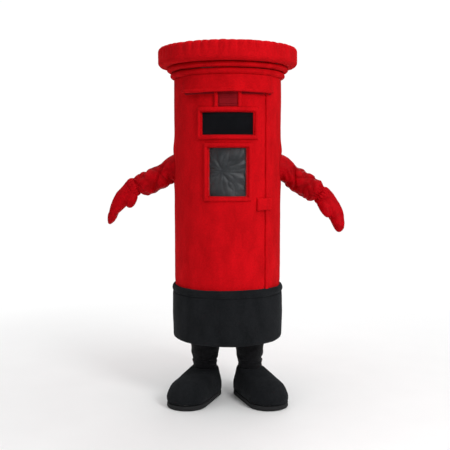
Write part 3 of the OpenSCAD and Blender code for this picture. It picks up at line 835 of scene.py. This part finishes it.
def openings():
    """The mesh in the slot, and the film in the window with the pinched lining behind it."""
    half, low, high = slot_high.x, slot_low.z, slot_high.z
    jamb("slot_jamb", half, low, high, 0.022, "red_plush")
    mesh = flat_grid(-half, half, low, high, 0.006)
    for v in mesh.verts:
        edge = min(half - abs(v.co.x), v.co.z - low, high - v.co.z)
        v.co.y = 0.003 * round_over(edge, 0.05) + 0.0008 * lump(v.co, 0.06, 30)
    wrap(mesh, BARREL_R - 0.008)
    mesh_piece = sewn("vision_mesh", mesh, "vision_mesh", "shell", ["vision_mesh"], thick=0.001)

    half, low, high = window_high.x, window_low.z, window_high.z
    jamb("window_jamb", half, low, high, 0.026, "red_plush")
    film = flat_grid(-half + 0.001, half - 0.001, low + 0.001, high - 0.001, 0.006)
    for v in film.verts:
        v.co.y = 0.0012 * lump(v.co, 0.11, 33) + 0.0009 * math.sin(31 * v.co.x + 17 * v.co.z)
    wrap(film, BARREL_R - 0.005)
    film_piece = sewn("window_film", film, "clear_film", "shell", ["window_film"], thick=0.0008)

    back_low, back_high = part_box("window_backing")
    pinch = Vector((-0.030, 0, low + 0.135))
    side = back_high.x - 0.004
    lining = flat_grid(-side, side, back_low.z + 0.003, back_high.z - 0.003, 0.0032)
    for v in lining.verts:
        away = v.co - pinch
        reach = math.hypot(away.x, away.z)
        turn = math.atan2(away.z, away.x)
        wander = 1.3 * lump(v.co, 0.09, 40)
        broad = abs(math.sin(3.0 * turn + wander)) ** 0.55
        crease = broad + 0.45 * abs(math.sin(6.5 * turn - 2 * wander)) ** 0.7
        fade = min(1.0, reach / 0.045) * (1 - 0.30 * min(1.0, reach / 0.2))
        knot = math.exp(-(reach / 0.022) ** 2)
        v.co.y = 0.0110 - 0.0110 * crease * fade - 0.0060 * knot + 0.0012 * lump(v.co, 0.03, 44)
    wrap(lining, BARREL_R - 0.022)
    bmesh.ops.smooth_vert(lining, verts=lining.verts[:], factor=0.5,
                          use_axis_x=True, use_axis_y=True, use_axis_z=True)
    lining_piece = sewn("window_backing", lining, "dark_lining", "shell", ["window_backing"], thick=0.0008)


def door_edge():
    """The padded strip behind the door's free edge, in two lengths, a painted shadow down the seam, and the lock
    block over the gap.
    """
    width, clear, stands_out, rounding = 0.024, 0.003, 0.0074, 0.006
    shift = DOOR_EDGE + width / 2 / BARREL_R + clear / BARREL_R
    below = (hem_high.z - 0.012, lock_low.z + 0.004, 50)
    above = (lock_high.z - 0.004, hood_low.z + 0.012, 53)
    lengths = []
    for z0, z1, seed in (below, above):
        strip = flat_grid(-width / 2, width / 2, z0, z1, 0.003)
        for v in strip.verts:
            edge = width / 2 - abs(v.co.x)
            v.co.y = -stands_out * round_over(edge, rounding) * (1 + 0.20 * lump(v.co, 0.04, seed))
            v.co.x += seam_wander(v.co.z) + 0.001 * lump(v.co, 0.03, seed + 2)
        wrap(strip, BARREL_R - 0.001)
        bmesh.ops.rotate(strip, verts=strip.verts[:], cent=(0, 0, 0), matrix=Matrix.Rotation(shift, 3, "Z"))
        lengths.append(strip)
    sewn("door_edge_strip", join(*lengths), "red_plush", "shell", ["door_edge_strip"], thick=TRIM)
    # Painted shadow: a narrow strip of dark felt down the seam's groove, where shade falls
    seam = flat_grid(-0.0024, 0.0024, hem_high.z - 0.01, hood_low.z + 0.01, 0.0024)
    for v in seam.verts:
        v.co.x += seam_wander(v.co.z)
        v.co.y = -0.0012 if abs(v.co.x - seam_wander(v.co.z)) < 0.001 else 0.0
    wrap(seam, BARREL_R - 0.0050)
    bmesh.ops.rotate(seam, verts=seam.verts[:], cent=(0, 0, 0), matrix=Matrix.Rotation(DOOR_EDGE, 3, "Z"))
    sewn("door_painted_shadow", seam, "deep_red_felt", "shell")
    half, proud, stands_out, rounding = 0.0515, 0.001, 0.0175, 0.007
    block = flat_grid(-half, half, lock_low.z - proud, lock_high.z + proud, 0.0025)
    for v in block.verts:
        edge = min(half - abs(v.co.x), v.co.z - lock_low.z + proud, lock_high.z + proud - v.co.z)
        v.co.y = -stands_out * round_over(edge, rounding) * (1 + 0.06 * lump(v.co, 0.03, 60))
        v.co.x += 0.0012 * lump(v.co, 0.02, 61)
    wrap(block, BARREL_R - 0.0015)
    bmesh.ops.rotate(block, verts=block.verts[:], cent=(0, 0, 0),
                     matrix=Matrix.Rotation(DOOR_EDGE - math.radians(1.5), 3, "Z"))
    sewn("lock_block", block, "red_plush", "shell", ["lock_block"], thick=TRIM)


barrel_cover()
base_band()
base_hem()
cap_rim()
cap_top()
cap_foam()
cornice("cornice_upper", 17)
cornice("cornice_lower", 19)
hood()
front_trim()
openings()
door_edge()


# ---------------------------------------------------------------- back zip

def tab(size, centre, corner):
    """A small plate with rounded edges."""
    bm = bmesh.new()
    bmesh.ops.create_cube(bm, size=1, matrix=Matrix.Translation(centre) @ Matrix.Diagonal((*size, 1)))
    bmesh.ops.bevel(bm, geom=bm.edges[:], offset=corner, affect="EDGES", segments=2, profile=0.5, material=-1)
    return bm


def back_zip():
    """The zip's tapes and teeth, its slider and the pull that hangs from it."""
    low, high = zip_low.z, zip_high.z
    pin_y = BARREL_R + 0.010
    tapes = []
    inner_edge = 0.0012
    for side in (-1, 1):
        tape = flat_grid(inner_edge, zip_high.x + 0.006, low - 0.012, high + 0.012, 0.006)
        for v in tape.verts:
            edge = v.co.x - inner_edge
            v.co.y = -0.0016 * round_over(edge, 0.006) + 0.0005 * lump(v.co, 0.05, 70 + side)
        bmesh.ops.scale(tape, verts=tape.verts[:], vec=(side, 1, 1))
        wrap(tape, BARREL_R - 0.0035)
        tapes.append(tape)
    cloth = join(*tapes)
    bmesh.ops.rotate(cloth, verts=cloth.verts[:], cent=(0, 0, 0), matrix=Matrix.Rotation(math.pi, 3, "Z"))
    sewn("zip_tape", cloth, "zip_tape", "shell", ["zip_tape"], thick=TAPE)
    pitch = 0.0042
    teeth = []
    for side in (-1, 1):
        lowest = (side * 0.0013, BARREL_R - 0.0008, low + 0.004 + (side + 1) * pitch / 4)
        first = tab((0.0034, 0.0022, 0.0019), lowest, 0.0004)
        count = int((high - low - 0.008) / pitch)
        cells = first.faces[:]
        for i in range(1, count):
            copy = bmesh.ops.duplicate(first, geom=cells)
            moved = [g for g in copy["geom"] if isinstance(g, bmesh.types.BMVert)]
            bmesh.ops.translate(first, verts=moved, vec=(0, 0, pitch * i))
        teeth.append(first)
    sewn("zip_teeth", join(*teeth), "zip_metal", "shell", ["zip_teeth"])
    slider_low, slider_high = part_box("zip_slider")
    middle = (slider_low + slider_high) / 2
    top = BARREL_R + 0.0066
    body = join(
        tab((0.0150, 0.0028, 0.0250), (0, top - 0.0015, middle.z), 0.0011),
        tab((0.0028, 0.0056, 0.0240), (-0.0060, top - 0.0045, middle.z), 0.0009),
        tab((0.0028, 0.0056, 0.0240), (0.0060, top - 0.0045, middle.z), 0.0009),
        tab((0.0018, slider_high.y - top, 0.0060), (-0.0060, (slider_high.y + top) / 2, middle.z), 0.0006),
        tab((0.0018, slider_high.y - top, 0.0060), (0.0060, (slider_high.y + top) / 2, middle.z), 0.0006),
    )
    across = Matrix.Translation((0, pin_y, middle.z)) @ Matrix.Rotation(math.pi / 2, 4, "Y")
    bmesh.ops.create_cone(body, cap_ends=True, segments=20, radius1=0.0014, radius2=0.0014, depth=0.0125,
                          matrix=across)
    sewn("zip_slider", body, "zip_metal", "zip_slider", ["zip_slider"])
    pull_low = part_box("zip_pull")[0]
    pull = bmesh.new()
    eye = (0, pin_y, joints["zip_pull_swing"]["pos_m"][2])
    loop, wire = 0.0021, 0.0006
    ring = [pull.verts.new((0, eye[1] + loop + wire * math.cos(a), eye[2] + wire * math.sin(a)))
            for a in (TURN * i / 8 for i in range(8))]
    ring_edges = [pull.edges.new(pair) for pair in zip(ring, ring[1:] + ring[:1])]
    bmesh.ops.spin(pull, geom=ring + ring_edges, axis=(1, 0, 0), cent=eye, angle=TURN, steps=24,
                   use_merge=True)
    bmesh.ops.scale(pull, verts=pull.verts[:], vec=(5.5, 1, 1))
    bmesh.ops.recalc_face_normals(pull, faces=pull.faces[:])
    length = eye[2] - pull_low.z - 0.003
    tag = tab((0.0080, 0.0019, length), (0, eye[1], pull_low.z + length / 2), 0.0009)
    grip = tab((0.0056, 0.0024, length * 0.55), (0, eye[1], pull_low.z + length * 0.36), 0.0007)
    sewn("zip_pull", join(pull, tag, grip), "zip_metal", "zip_pull", ["zip_pull"])


back_zip()


# ---------------------------------------------------------------- sleeves

def along_stops(stops, t):
    """Values at t between (place, value...) stops, on a straight line from each stop to the next."""
    if t <= stops[0][0]:
        return stops[0][1:]
    for before, after in zip(stops, stops[1:]):
        if t <= after[0]:
            share = (t - before[0]) / (after[0] - before[0])
            return [a + (b - a) * share for a, b in zip(before[1:], after[1:])]
    return stops[-1][1:]


def skin_over(matrices, around, ends=False):
    """A tube over circles that are placed and sized by their matrices."""
    bm = bmesh.new()
    rims = []
    for matrix in matrices:
        ring = bmesh.ops.create_circle(bm, cap_ends=False, segments=around, radius=1, matrix=matrix)["verts"]
        rims.append(list({e for v in ring for e in v.link_edges}))
    for first, second in zip(rims, rims[1:]):
        bmesh.ops.bridge_loops(bm, edges=first + second)
    if ends:
        for rim in (rims[0], rims[-1]):
            bmesh.ops.contextual_create(bm, geom=[e for e in rim if e.is_valid])
    bmesh.ops.recalc_face_normals(bm, faces=bm.faces[:])
    return bm


def tube(sections, around, ends=False):
    """A tube along an arm or a hand. Each ring is (centre, direction, half height, half width)."""
    matrices = []
    for centre, direction, tall, wide in sections:
        side = Vector((0, 1, 0))
        up = direction.cross(side).normalized()
        matrix = Matrix((side * wide, up * tall, direction.normalized())).transposed().to_4x4()
        matrix.translation = centre
        matrices.append(matrix)
    return skin_over(matrices, around, ends)


def tube_upright(centre_x, rings, around):
    """A tube on an upright axis, from (height, radius) pairs."""
    return skin_over([Matrix.Translation((centre_x, 0, z)) @ Matrix.Diagonal((radius, radius, 1, 1))
                      for z, radius in rings], around)


def crumple(piece, held, grow, cap, frames=22, bend=0.35):
    """Lets the cloth grow by a share of its size between held ends, so that it buckles into folds."""
    start_at = [v.co.copy() for v in piece.data.vertices]
    group = piece.vertex_groups.new(name="held")
    for v in piece.data.vertices:
        group.add([v.index], held(v.co), "REPLACE")
    cloth = piece.modifiers.new("cloth", "CLOTH")
    cloth.settings.quality = 6
    cloth.settings.mass = 0.15
    cloth.settings.tension_stiffness = 12
    cloth.settings.compression_stiffness = 12
    cloth.settings.shear_stiffness = 4
    cloth.settings.bending_stiffness = bend
    cloth.settings.air_damping = 2
    cloth.settings.shrink_min = -grow
    cloth.settings.shrink_max = -grow
    cloth.settings.vertex_group_mass = "held"
    cloth.settings.effector_weights.gravity = 0.12
    cloth.collision_settings.use_collision = False
    scene = bpy.context.scene
    scene.frame_start, scene.frame_end = 1, frames
    cloth.point_cache.frame_start, cloth.point_cache.frame_end = 1, frames
    for step in range(1, frames + 1):
        scene.frame_set(step)
    settle(piece)
    scene.frame_set(1)
    for v, was in zip(piece.data.vertices, start_at):
        move = v.co - was
        if move.length > cap:
            v.co = was + move * (cap / move.length)
    piece.vertex_groups.clear()


def refine(piece, wall):
    """One subdivision and the cloth's thickness, applied."""
    fine = piece.modifiers.new("fine", "SUBSURF")
    fine.levels = fine.render_levels = 1
    thicken(piece, wall)
    settle(piece)


SLEEVES = {
    # Distance along the sleeve in metres, its centre above the arm's axis, and its radius
    "right": [(0.014, -0.020, 0.065), (0.070, -0.018, 0.067), (0.110, -0.019, 0.068), (0.155, -0.017, 0.071),
              (0.182, -0.013, 0.067), (0.200, -0.006, 0.056), (0.213, 0.0, 0.044), (0.232, 0.0, 0.036)],
    "left": [(0.014, -0.016, 0.066), (0.060, -0.013, 0.066), (0.110, -0.011, 0.068), (0.160, -0.006, 0.069),
             (0.208, -0.003, 0.068), (0.228, -0.002, 0.058), (0.243, 0.0, 0.045), (0.262, 0.0, 0.036)],
}
ROOT_R = 0.0772  # radius at the armhole
GATHERED_FROM = 0.026  # how far before the wrist the sleeve's gathered end begins
MOUTH_AT = 0.006  # how far past the wrist the mitten's mouth is
LONG_FOLD, SHORT_FOLD, SLEEVE_GATHER = 0.0085, 0.0050, 0.0030  # how high the folds and gathers stand
# Each arm's shoulder, wrist, direction from one to the other, and the direction above it
arms = {}
for name, sign in SIDES.items():
    shoulder = Vector(joints["shoulder_" + name]["pos_m"])
    wrist = Vector(joints["wrist_" + name]["pos_m"])
    way = (wrist - shoulder).normalized()
    lift = Vector((-way.z * sign, 0, way.x * sign))
    arms[name] = (shoulder, wrist, way, lift)


def cut_off(piece, place, way, name):
    """Cuts a sewn piece in two along a plane and gives back the part beyond it as its own piece."""
    bm = bmesh.new()
    bm.from_mesh(piece.data)
    beyond = bm.copy()
    for part, side in ((bm, "clear_outer"), (beyond, "clear_inner")):
        every = part.verts[:] + part.edges[:] + part.faces[:]
        bmesh.ops.bisect_plane(part, geom=every, plane_co=place, plane_no=way, **{side: True})
    bm.to_mesh(piece.data)
    bm.free()
    return sewn(name, beyond, "red_velour")


def sleeve(name):
    """A sleeve with long and short folds across each other, and its gathered end."""
    sign = SIDES[name]
    shoulder, wrist, way, lift = arms[name]
    level = Vector((sign, 0, 0))
    root = Vector((sign * 0.289, 0, ARM_Z))
    sections = [(root, level, ROOT_R, ROOT_R)]
    stops = SLEEVES[name]
    start_at, end = stops[0][0], stops[-1][0]
    # The first rings turn from the armhole's direction to the arm's
    turning, rings = 6, 66
    for i in range(1, turning):
        t = i / turning
        offset, radius = stops[0][1:]
        goal = shoulder + way * start_at + lift * offset
        girth = ROOT_R + (radius - ROOT_R) * t
        sections.append((root.lerp(goal, t), level.lerp(way, t ** 0.7), girth, girth))
    for i in range(turning, rings + 1):
        along = start_at + (end - start_at) * (i - turning) / (rings - turning)
        offset, radius = along_stops(stops, along)
        sections.append((shoulder + way * along + lift * offset, way, radius, radius))
    bm = tube(sections, 104)
    crease_shade = []
    for v in bm.verts:
        from_axis = v.co - shoulder
        along = from_axis.dot(way)
        free = max(0.0, min(1.0, along / 0.03, (end - 0.03 - along) / 0.04))
        high = from_axis.dot(lift)
        long_fold = abs(noise.noise(Vector((
            (along + 0.9 * high) / 0.074, v.co.y / 0.10, (along - high) / 0.24 + sign * 7))))
        short_fold = abs(noise.noise(Vector((
            (along - 0.8 * high) / 0.060, v.co.y / 0.11, (along + high) / 0.20 - sign * 5))))
        wave = ((min(1.0, 4.0 * long_fold) - 0.8) * LONG_FOLD
                + (min(1.0, 4.0 * short_fold) - 0.8) * SHORT_FOLD)
        radial = (from_axis - way * along).normalized()
        v.co += radial * wave * free
        # Painted shade: darkest in the folds' valleys, and none near the sleeve's ends
        crease_shade.append(0.6 * free * (1.0 - 3.2 * min(long_fold, 1.3 * short_fold)))
    piece = sewn("sleeve_" + name, bm, "red_velour")
    paint_crease_shade(piece, crease_shade)
    def held(point):
        along = (point - shoulder).dot(way)
        if abs(point.x) < 0.297 or along > end - 0.016:
            return 1.0
        return max(0.0, 1 - (along + 0.02) / 0.03) * 0.7
    crumple(piece, held, 0.07, 0.005, bend=4.0)
    for v in piece.data.vertices:
        from_axis = v.co - shoulder
        along = from_axis.dot(way)
        turn = math.atan2(from_axis.dot(lift), v.co.y)
        radial = (from_axis - way * along).normalized()
        gather = math.exp(-((along - end + 0.028) / 0.022) ** 2)
        v.co += radial * SLEEVE_GATHER * gather * math.sin(23 * turn + 2.5 * lump(v.co, 0.03, 90))
    # The gathered end is a piece of its own, because it crosses a second joint
    gathered = cut_off(piece, wrist - way * GATHERED_FROM, way, "sleeve_cuff_" + name)
    refine(piece, STRETCH)
    refine(gathered, STRETCH)
    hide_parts("sleeve_" + name)
    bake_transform(piece)
    girth = TURN * 0.070
    girth * 1.05
    end + 0.067
    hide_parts("sleeve_cuff_" + name)
    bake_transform(gathered)


# ---------------------------------------------------------------- mittens

MITTENS = {
    # How far the hand drops and tilts forward, in degrees. Of each ring of the hand: its distance along it,
    # the palm's and the back's offset from the wrist's axis, and half its width. Of each ring of the thumb:
    # its distance along the hand, its offset and its radius.
    "right": {
        "drop": 66, "tilt": 0, "thumb_y": -0.022,
        "hand": [
            (-0.002, -0.040, 0.052, 0.042), (0.020, -0.040, 0.064, 0.044), (0.045, -0.030, 0.072, 0.046),
            (0.080, -0.010, 0.088, 0.050), (0.132, 0.006, 0.091, 0.050), (0.165, 0.020, 0.090, 0.048),
            (0.186, 0.030, 0.086, 0.045), (0.196, 0.030, 0.083, 0.044), (0.215, 0.029, 0.083, 0.041),
            (0.240, 0.034, 0.075, 0.031), (0.256, 0.042, 0.067, 0.019), (0.264, 0.050, 0.058, 0.007)],
        "thumb": [
            (0.040, -0.006, 0.020), (0.062, -0.010, 0.027), (0.085, -0.011, 0.028),
            (0.106, -0.010, 0.026), (0.122, -0.010, 0.019), (0.131, -0.010, 0.008)]},
    "left": {
        "drop": 80, "tilt": 24, "thumb_y": -0.034,
        "hand": [
            (-0.002, -0.042, 0.054, 0.042), (0.012, -0.040, 0.064, 0.044), (0.030, -0.030, 0.077, 0.046),
            (0.068, -0.006, 0.097, 0.050), (0.115, 0.012, 0.107, 0.050), (0.158, 0.026, 0.104, 0.048),
            (0.185, 0.033, 0.099, 0.044), (0.205, 0.039, 0.091, 0.036), (0.217, 0.047, 0.079, 0.025),
            (0.223, 0.055, 0.068, 0.010)],
        "thumb": [
            (0.026, -0.004, 0.022), (0.050, -0.001, 0.030), (0.078, 0.006, 0.031),
            (0.102, 0.012, 0.027), (0.122, 0.016, 0.019), (0.132, 0.017, 0.008)]},
}


MITTEN_PADDING = 0.003


def remesh(piece, size, smooth):
    """One closed skin over joined volumes, smoothed."""
    skin = piece.modifiers.new("skin", "REMESH")
    skin.mode = "VOXEL"
    skin.voxel_size = size
    settle(piece)
    even = piece.modifiers.new("even", "SMOOTH")
    even.factor = 0.5
    even.iterations = smooth
    settle(piece)


def mitten(name):
    """A padded mitten with its thumb, and the elastic cuff round its mouth."""
    sign = SIDES[name]
    wrist, way, lift = arms[name][1:]
    cut = MITTENS[name]
    drop = math.radians(cut["drop"])
    lean = math.tan(math.radians(cut["tilt"]))
    ahead = Vector((sign * math.cos(drop), -lean, -math.sin(drop)))
    back = Vector((sign * math.sin(drop), 0, math.cos(drop)))

    def at(along, offset, y=0.0):
        return wrist + ahead * along + back * offset + Vector((0, y, 0))
    sections = []
    for along, palm, top, half in cut["hand"]:
        share = max(0.0, min(1.0, along / 0.06))
        course = way.lerp(ahead, share).normalized()
        sections.append((at(along, (palm + top) / 2), course, (top - palm) / 2, half))
    hand = tube(sections, 40, ends=True)
    long_edges = [e for e in hand.edges if e.calc_length() > 0.012]
    bmesh.ops.subdivide_edges(hand, edges=long_edges, cuts=1, use_grid_fill=True)
    start_at, finish_at = cut["thumb"][0], cut["thumb"][-1]
    course = (at(finish_at[0], finish_at[1]) - at(start_at[0], start_at[1])).normalized()
    thumb = tube([(at(along, offset, cut["thumb_y"] * min(1.0, along / 0.07)), course, radius, radius * 0.95)
                  for along, offset, radius in cut["thumb"]], 28, ends=True)
    piece = sewn("glove_" + name, join(hand, thumb), "red_velour")
    remesh(piece, 0.0036, 5)
    crease_shade = []
    for v in piece.data.vertices:
        along = (v.co - wrist).dot(ahead) / ahead.length_squared
        off = v.co - at(along, 0.03)
        turn = math.atan2(off.y, off.dot(back))
        radial = off.normalized()
        pleats = math.exp(-(max(0.0, along - 0.004) / 0.022) ** 2)
        wrinkle = 0.0016 * lump(v.co, 0.030, 100 + sign) + 0.0007 * lump(v.co, 0.010, 104)
        from_knuckles = along - cut["hand"][-1][0] + 0.070 + 0.1 * (off.dot(back) - 0.03)
        fold = -0.0045 * math.exp(-(from_knuckles / 0.0045) ** 2)
        inner = max(0.0, min(1.0, (0.035 - off.dot(back)) / 0.03)) if name == "right" else 0.0
        v.co += radial * (0.0020 * pleats * math.sin(17 * turn) + wrinkle + fold * inner)
        # Painted shade in the pleats' valleys at the mouth and in the fold across the right hand's knuckles
        crease_shade.append(-0.5 * pleats * math.sin(17 * turn) - fold * inner / 0.006)
    paint_crease_shade(piece, crease_shade)
    bm = bmesh.new()
    bm.from_mesh(piece.data)
    every = bm.verts[:] + bm.edges[:] + bm.faces[:]
    bmesh.ops.bisect_plane(bm, geom=every, plane_co=wrist + way * MOUTH_AT, plane_no=way,
                           clear_inner=True)
    bm.to_mesh(piece.data)
    bm.free()
    shade_smooth(piece.data)
    thicken(piece, MITTEN_PADDING)
    settle(piece)
    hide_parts("glove_" + name, "glove_thumb_" + name)
    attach(piece, "hand_" + name)

    rings = []
    for along, radius in ((-0.006, 0.0455), (0.000, 0.0490), (0.007, 0.0520), (0.015, 0.0535),
                          (0.023, 0.0530), (0.031, 0.0500), (0.037, 0.0465)):
        rings.append((wrist + way * along, way, radius, radius))
    cuff = tube(rings, 160)
    for v in cuff.verts:
        from_axis = v.co - wrist
        along = from_axis.dot(way)
        turn = math.atan2(from_axis.dot(lift), v.co.y)
        uneven = noise.noise(Vector((3 * math.sin(turn), 3 * math.cos(turn), sign)))
        pleat = math.sin(19 * turn + 1.6 * uneven)
        v.co += (from_axis - way * along).normalized() * (0.0022 * pleat + 0.0012 * lump(v.co, 0.02, 110))
    piece = sewn("glove_cuff_" + name, cuff, "red_velour")
    refine(piece, 0.0025)
    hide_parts("glove_cuff_" + name)
    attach(piece, "hand_" + name)


def armhole(name):
    """The rolled seam that joins a sleeve to the barrel, and the lining of the hole."""
    sign = SIDES[name]
    rings = []
    for depth, radius in ((0.248, 0.0800), (0.262, 0.0790), (0.280, 0.0785), (0.292, 0.0790)):
        rings.append((Vector((sign * depth, 0, ARM_Z)), Vector((sign, 0, 0)), radius, radius))
    bm = tube(rings, 96)
    for v in bm.verts:
        if abs(v.co.x) > 0.285:
            v.co.x = sign * (math.sqrt(BARREL_R ** 2 - v.co.y ** 2) - 0.002)
    sewn("armhole_ring_" + name, bm, "red_velour", "shell", ["armhole_ring_" + name], thick=TRIM)


for name in SIDES:
    armhole(name)
    sleeve(name)
    mitten(name)


# ---------------------------------------------------------------- trousers and shoes

def soft_copy(node_name, size, smooth, slot, body, uneven=0.0, seed=0.0):
    """A padded or sewn piece with the form of its CAD solid, its edges rounded and its skin uneven."""
    bm = bmesh.new()
    bm.from_mesh(nodes[node_name].data)
    bmesh.ops.remove_doubles(bm, verts=bm.verts[:], dist=1e-5)
    piece = sewn(node_name, bm, slot)
    remesh(piece, size, smooth)
    if uneven:
        bm = bmesh.new()
        bm.from_mesh(piece.data)
        ruffle(bm, 0.05, uneven, seed)
        bm.to_mesh(piece.data)
        bm.free()
        shade_smooth(piece.data)
    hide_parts(node_name)
    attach(piece, body)
    return piece


def trouser_leg(name):
    """A trouser leg, and the gathered ankle cuff between it and the shoe."""
    sign = SIDES[name]
    low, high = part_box("trouser_leg_" + name)
    centre_x = (low.x + high.x) / 2
    top = high.z
    foot = 0.198
    stops = [(foot, 0.0670), (0.225, 0.0700), (0.260, 0.0750), (0.320, 0.0780), (0.380, 0.0800),
             (0.60, 0.0860), (top, 0.0900)]
    rings = []
    z = foot
    while z < top:
        rings.append((z, *along_stops(stops, z)))
        z += 0.0045 if z < 0.40 else 0.012
    rings.append(stops[-1])
    bm = tube_upright(centre_x, rings, 84)
    for v in bm.verts:
        from_axis = Vector((v.co.x - centre_x, v.co.y, 0))
        turn = math.atan2(from_axis.y, from_axis.x)
        down = max(0.0, min(1.0, (0.42 - v.co.z) / 0.10)) * max(0.0, min(1.0, (v.co.z - foot) / 0.02))
        tilt = v.co.z + 0.014 * math.sin(turn + sign) + 0.012 * lump(v.co, 0.06, 120 + sign)
        sag = math.sin(tilt * TURN / 0.052)
        v.co += from_axis.normalized() * (0.0013 * sag + 0.0020 * lump(v.co, 0.05, 124)) * down
    piece = sewn("trouser_leg_" + name, bm, "black_jersey")
    def held(point):
        return 1.0 if point.z > 0.45 or point.z < foot + 0.006 else 0.0
    crumple(piece, held, 0.09, 0.009, frames=14)
    refine(piece, STRETCH)
    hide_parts("trouser_leg_" + name)
    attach(piece, "leg_" + name)

    folds = [(0.150, 0.0560), (0.160, 0.0620), (0.168, 0.0670), (0.174, 0.0690), (0.180, 0.0680),
             (0.184, 0.0655), (0.188, 0.0670), (0.194, 0.0700), (0.201, 0.0705), (0.207, 0.0690),
             (0.211, 0.0660)]
    cuff = tube_upright(centre_x, folds, 120)
    for v in cuff.verts:
        from_axis = Vector((v.co.x - centre_x, v.co.y, 0))
        turn = math.atan2(from_axis.y, from_axis.x)
        v.co.z += 0.0025 * math.sin(2 * turn + sign)
        v.co += from_axis.normalized() * (0.0008 * math.sin(40 * turn) + 0.0014 * lump(v.co, 0.03, 130))
    piece = sewn("ankle_cuff_" + name, cuff, "black_jersey")
    refine(piece, 0.002)
    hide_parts("ankle_cuff_" + name)
    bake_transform(piece)


def shoe(name):
    """A big padded shoe on a rubber sole."""
    body = "foot_" + name
    upper = soft_copy("shoe_upper_" + name, 0.0052, 14, "black_plush", body)
    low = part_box("shoe_upper_" + name)[0]
    normals = [v.normal.copy() for v in upper.data.vertices]
    for v, normal in zip(upper.data.vertices, normals):
        height = v.co.z - low.z
        puff = 0.0035 * math.exp(-((height - 0.050) / 0.045) ** 2)
        welt = -0.0025 * math.exp(-((height - 0.003) / 0.003) ** 2)
        v.co += normal * (puff + welt + 0.0016 * lump(v.co, 0.06, 140) + 0.0006 * lump(v.co, 0.016, 143))
    bm = bmesh.new()
    bm.from_mesh(nodes["shoe_sole_" + name].data)
    bmesh.ops.remove_doubles(bm, verts=bm.verts[:], dist=1e-5)
    bmesh.ops.dissolve_limit(bm, angle_limit=math.radians(2), verts=bm.verts[:], edges=bm.edges[:])
    rim = [e for e in bm.edges if len(e.link_faces) == 2 and e.calc_face_angle(0) > math.radians(60)]
    bmesh.ops.bevel(bm, geom=rim, offset=0.0065, affect="EDGES", segments=4, profile=0.5, material=-1)
    sewn("sole_" + name, bm, "sole_rubber", body, ["shoe_sole_" + name])


for name in SIDES:
    trouser_leg(name)
    shoe(name)
    soft_copy("harness_pad_" + name, 0.004, 6, "strap_padding", "shell", 0.0015, 150)
soft_copy("trouser_seat", 0.0045, 6, "black_jersey", "shell", 0.004, 160)
soft_copy("trouser_waistband", 0.004, 2, "elastic", "shell", 0.001, 163)

for name, obj in nodes.items():
    if not obj.hide_render:
        obj.data.materials.clear()
        obj.data.materials.append(finishes[slot_of[name]])


# ---------------------------------------------------------------- floor and surroundings

FLOOR_R, FADE_FROM, FADE_TO = 3.4, 1.0, 3.3
SIDE_LIGHT, BACKDROP = 0.16, 1.02  # the white room's strength on the object, and as the camera sees it


def pale_floor():
    """A pale floor that fades to plain white at its edge."""
    material, tree = start("pale_floor")
    speck = grain(tree, where(tree), 3, 2)
    shade = tint(tree, speck, colour(0.88, 0.88, 0.88), colour(0.92, 0.92, 0.92))
    reach = node(tree, "ShaderNodeVectorMath", {"operation": "LENGTH"}, {0: where(tree)}, output=1)
    fade = between(tree, reach, FADE_FROM, FADE_TO)
    dark = colour(0, 0, 0)
    sockets = {"Base Color": tint(tree, fade, shade, dark), "Roughness": 0.7 + speck * 0.1,
               "Specular IOR Level": 0.0, "Emission Color": tint(tree, fade, dark, colour(1, 1, 1)),
               "Emission Strength": BACKDROP}
    shader = node(tree, "ShaderNodeBsdfPrincipled", sockets=sockets)
    node(tree, "ShaderNodeOutputMaterial", sockets={"Surface": shader})
    bm = bmesh.new()
    bmesh.ops.create_circle(bm, cap_ends=True, segments=96, radius=FLOOR_R)
    mesh = bpy.data.meshes.new("floor")
    bm.to_mesh(mesh)
    bm.free()
    mesh.materials.append(material)
    floor = bpy.data.objects.new("floor", mesh)
    bpy.context.scene.collection.objects.link(floor)


def white_room():
    """White all round, which lights the object only a little."""
    world = bpy.data.worlds.new("room")
    world.use_nodes = True
    tree = world.node_tree
    tree.nodes.clear()
    seen = node(tree, "ShaderNodeLightPath", output="Is Camera Ray")
    strength = SIDE_LIGHT + seen * (BACKDROP - SIDE_LIGHT)
    back = node(tree, "ShaderNodeBackground", sockets={"Color": colour(1, 1, 1), "Strength": strength})
    node(tree, "ShaderNodeOutputWorld", sockets={"Surface": back})
    bpy.context.scene.world = world


pale_floor()
white_room()
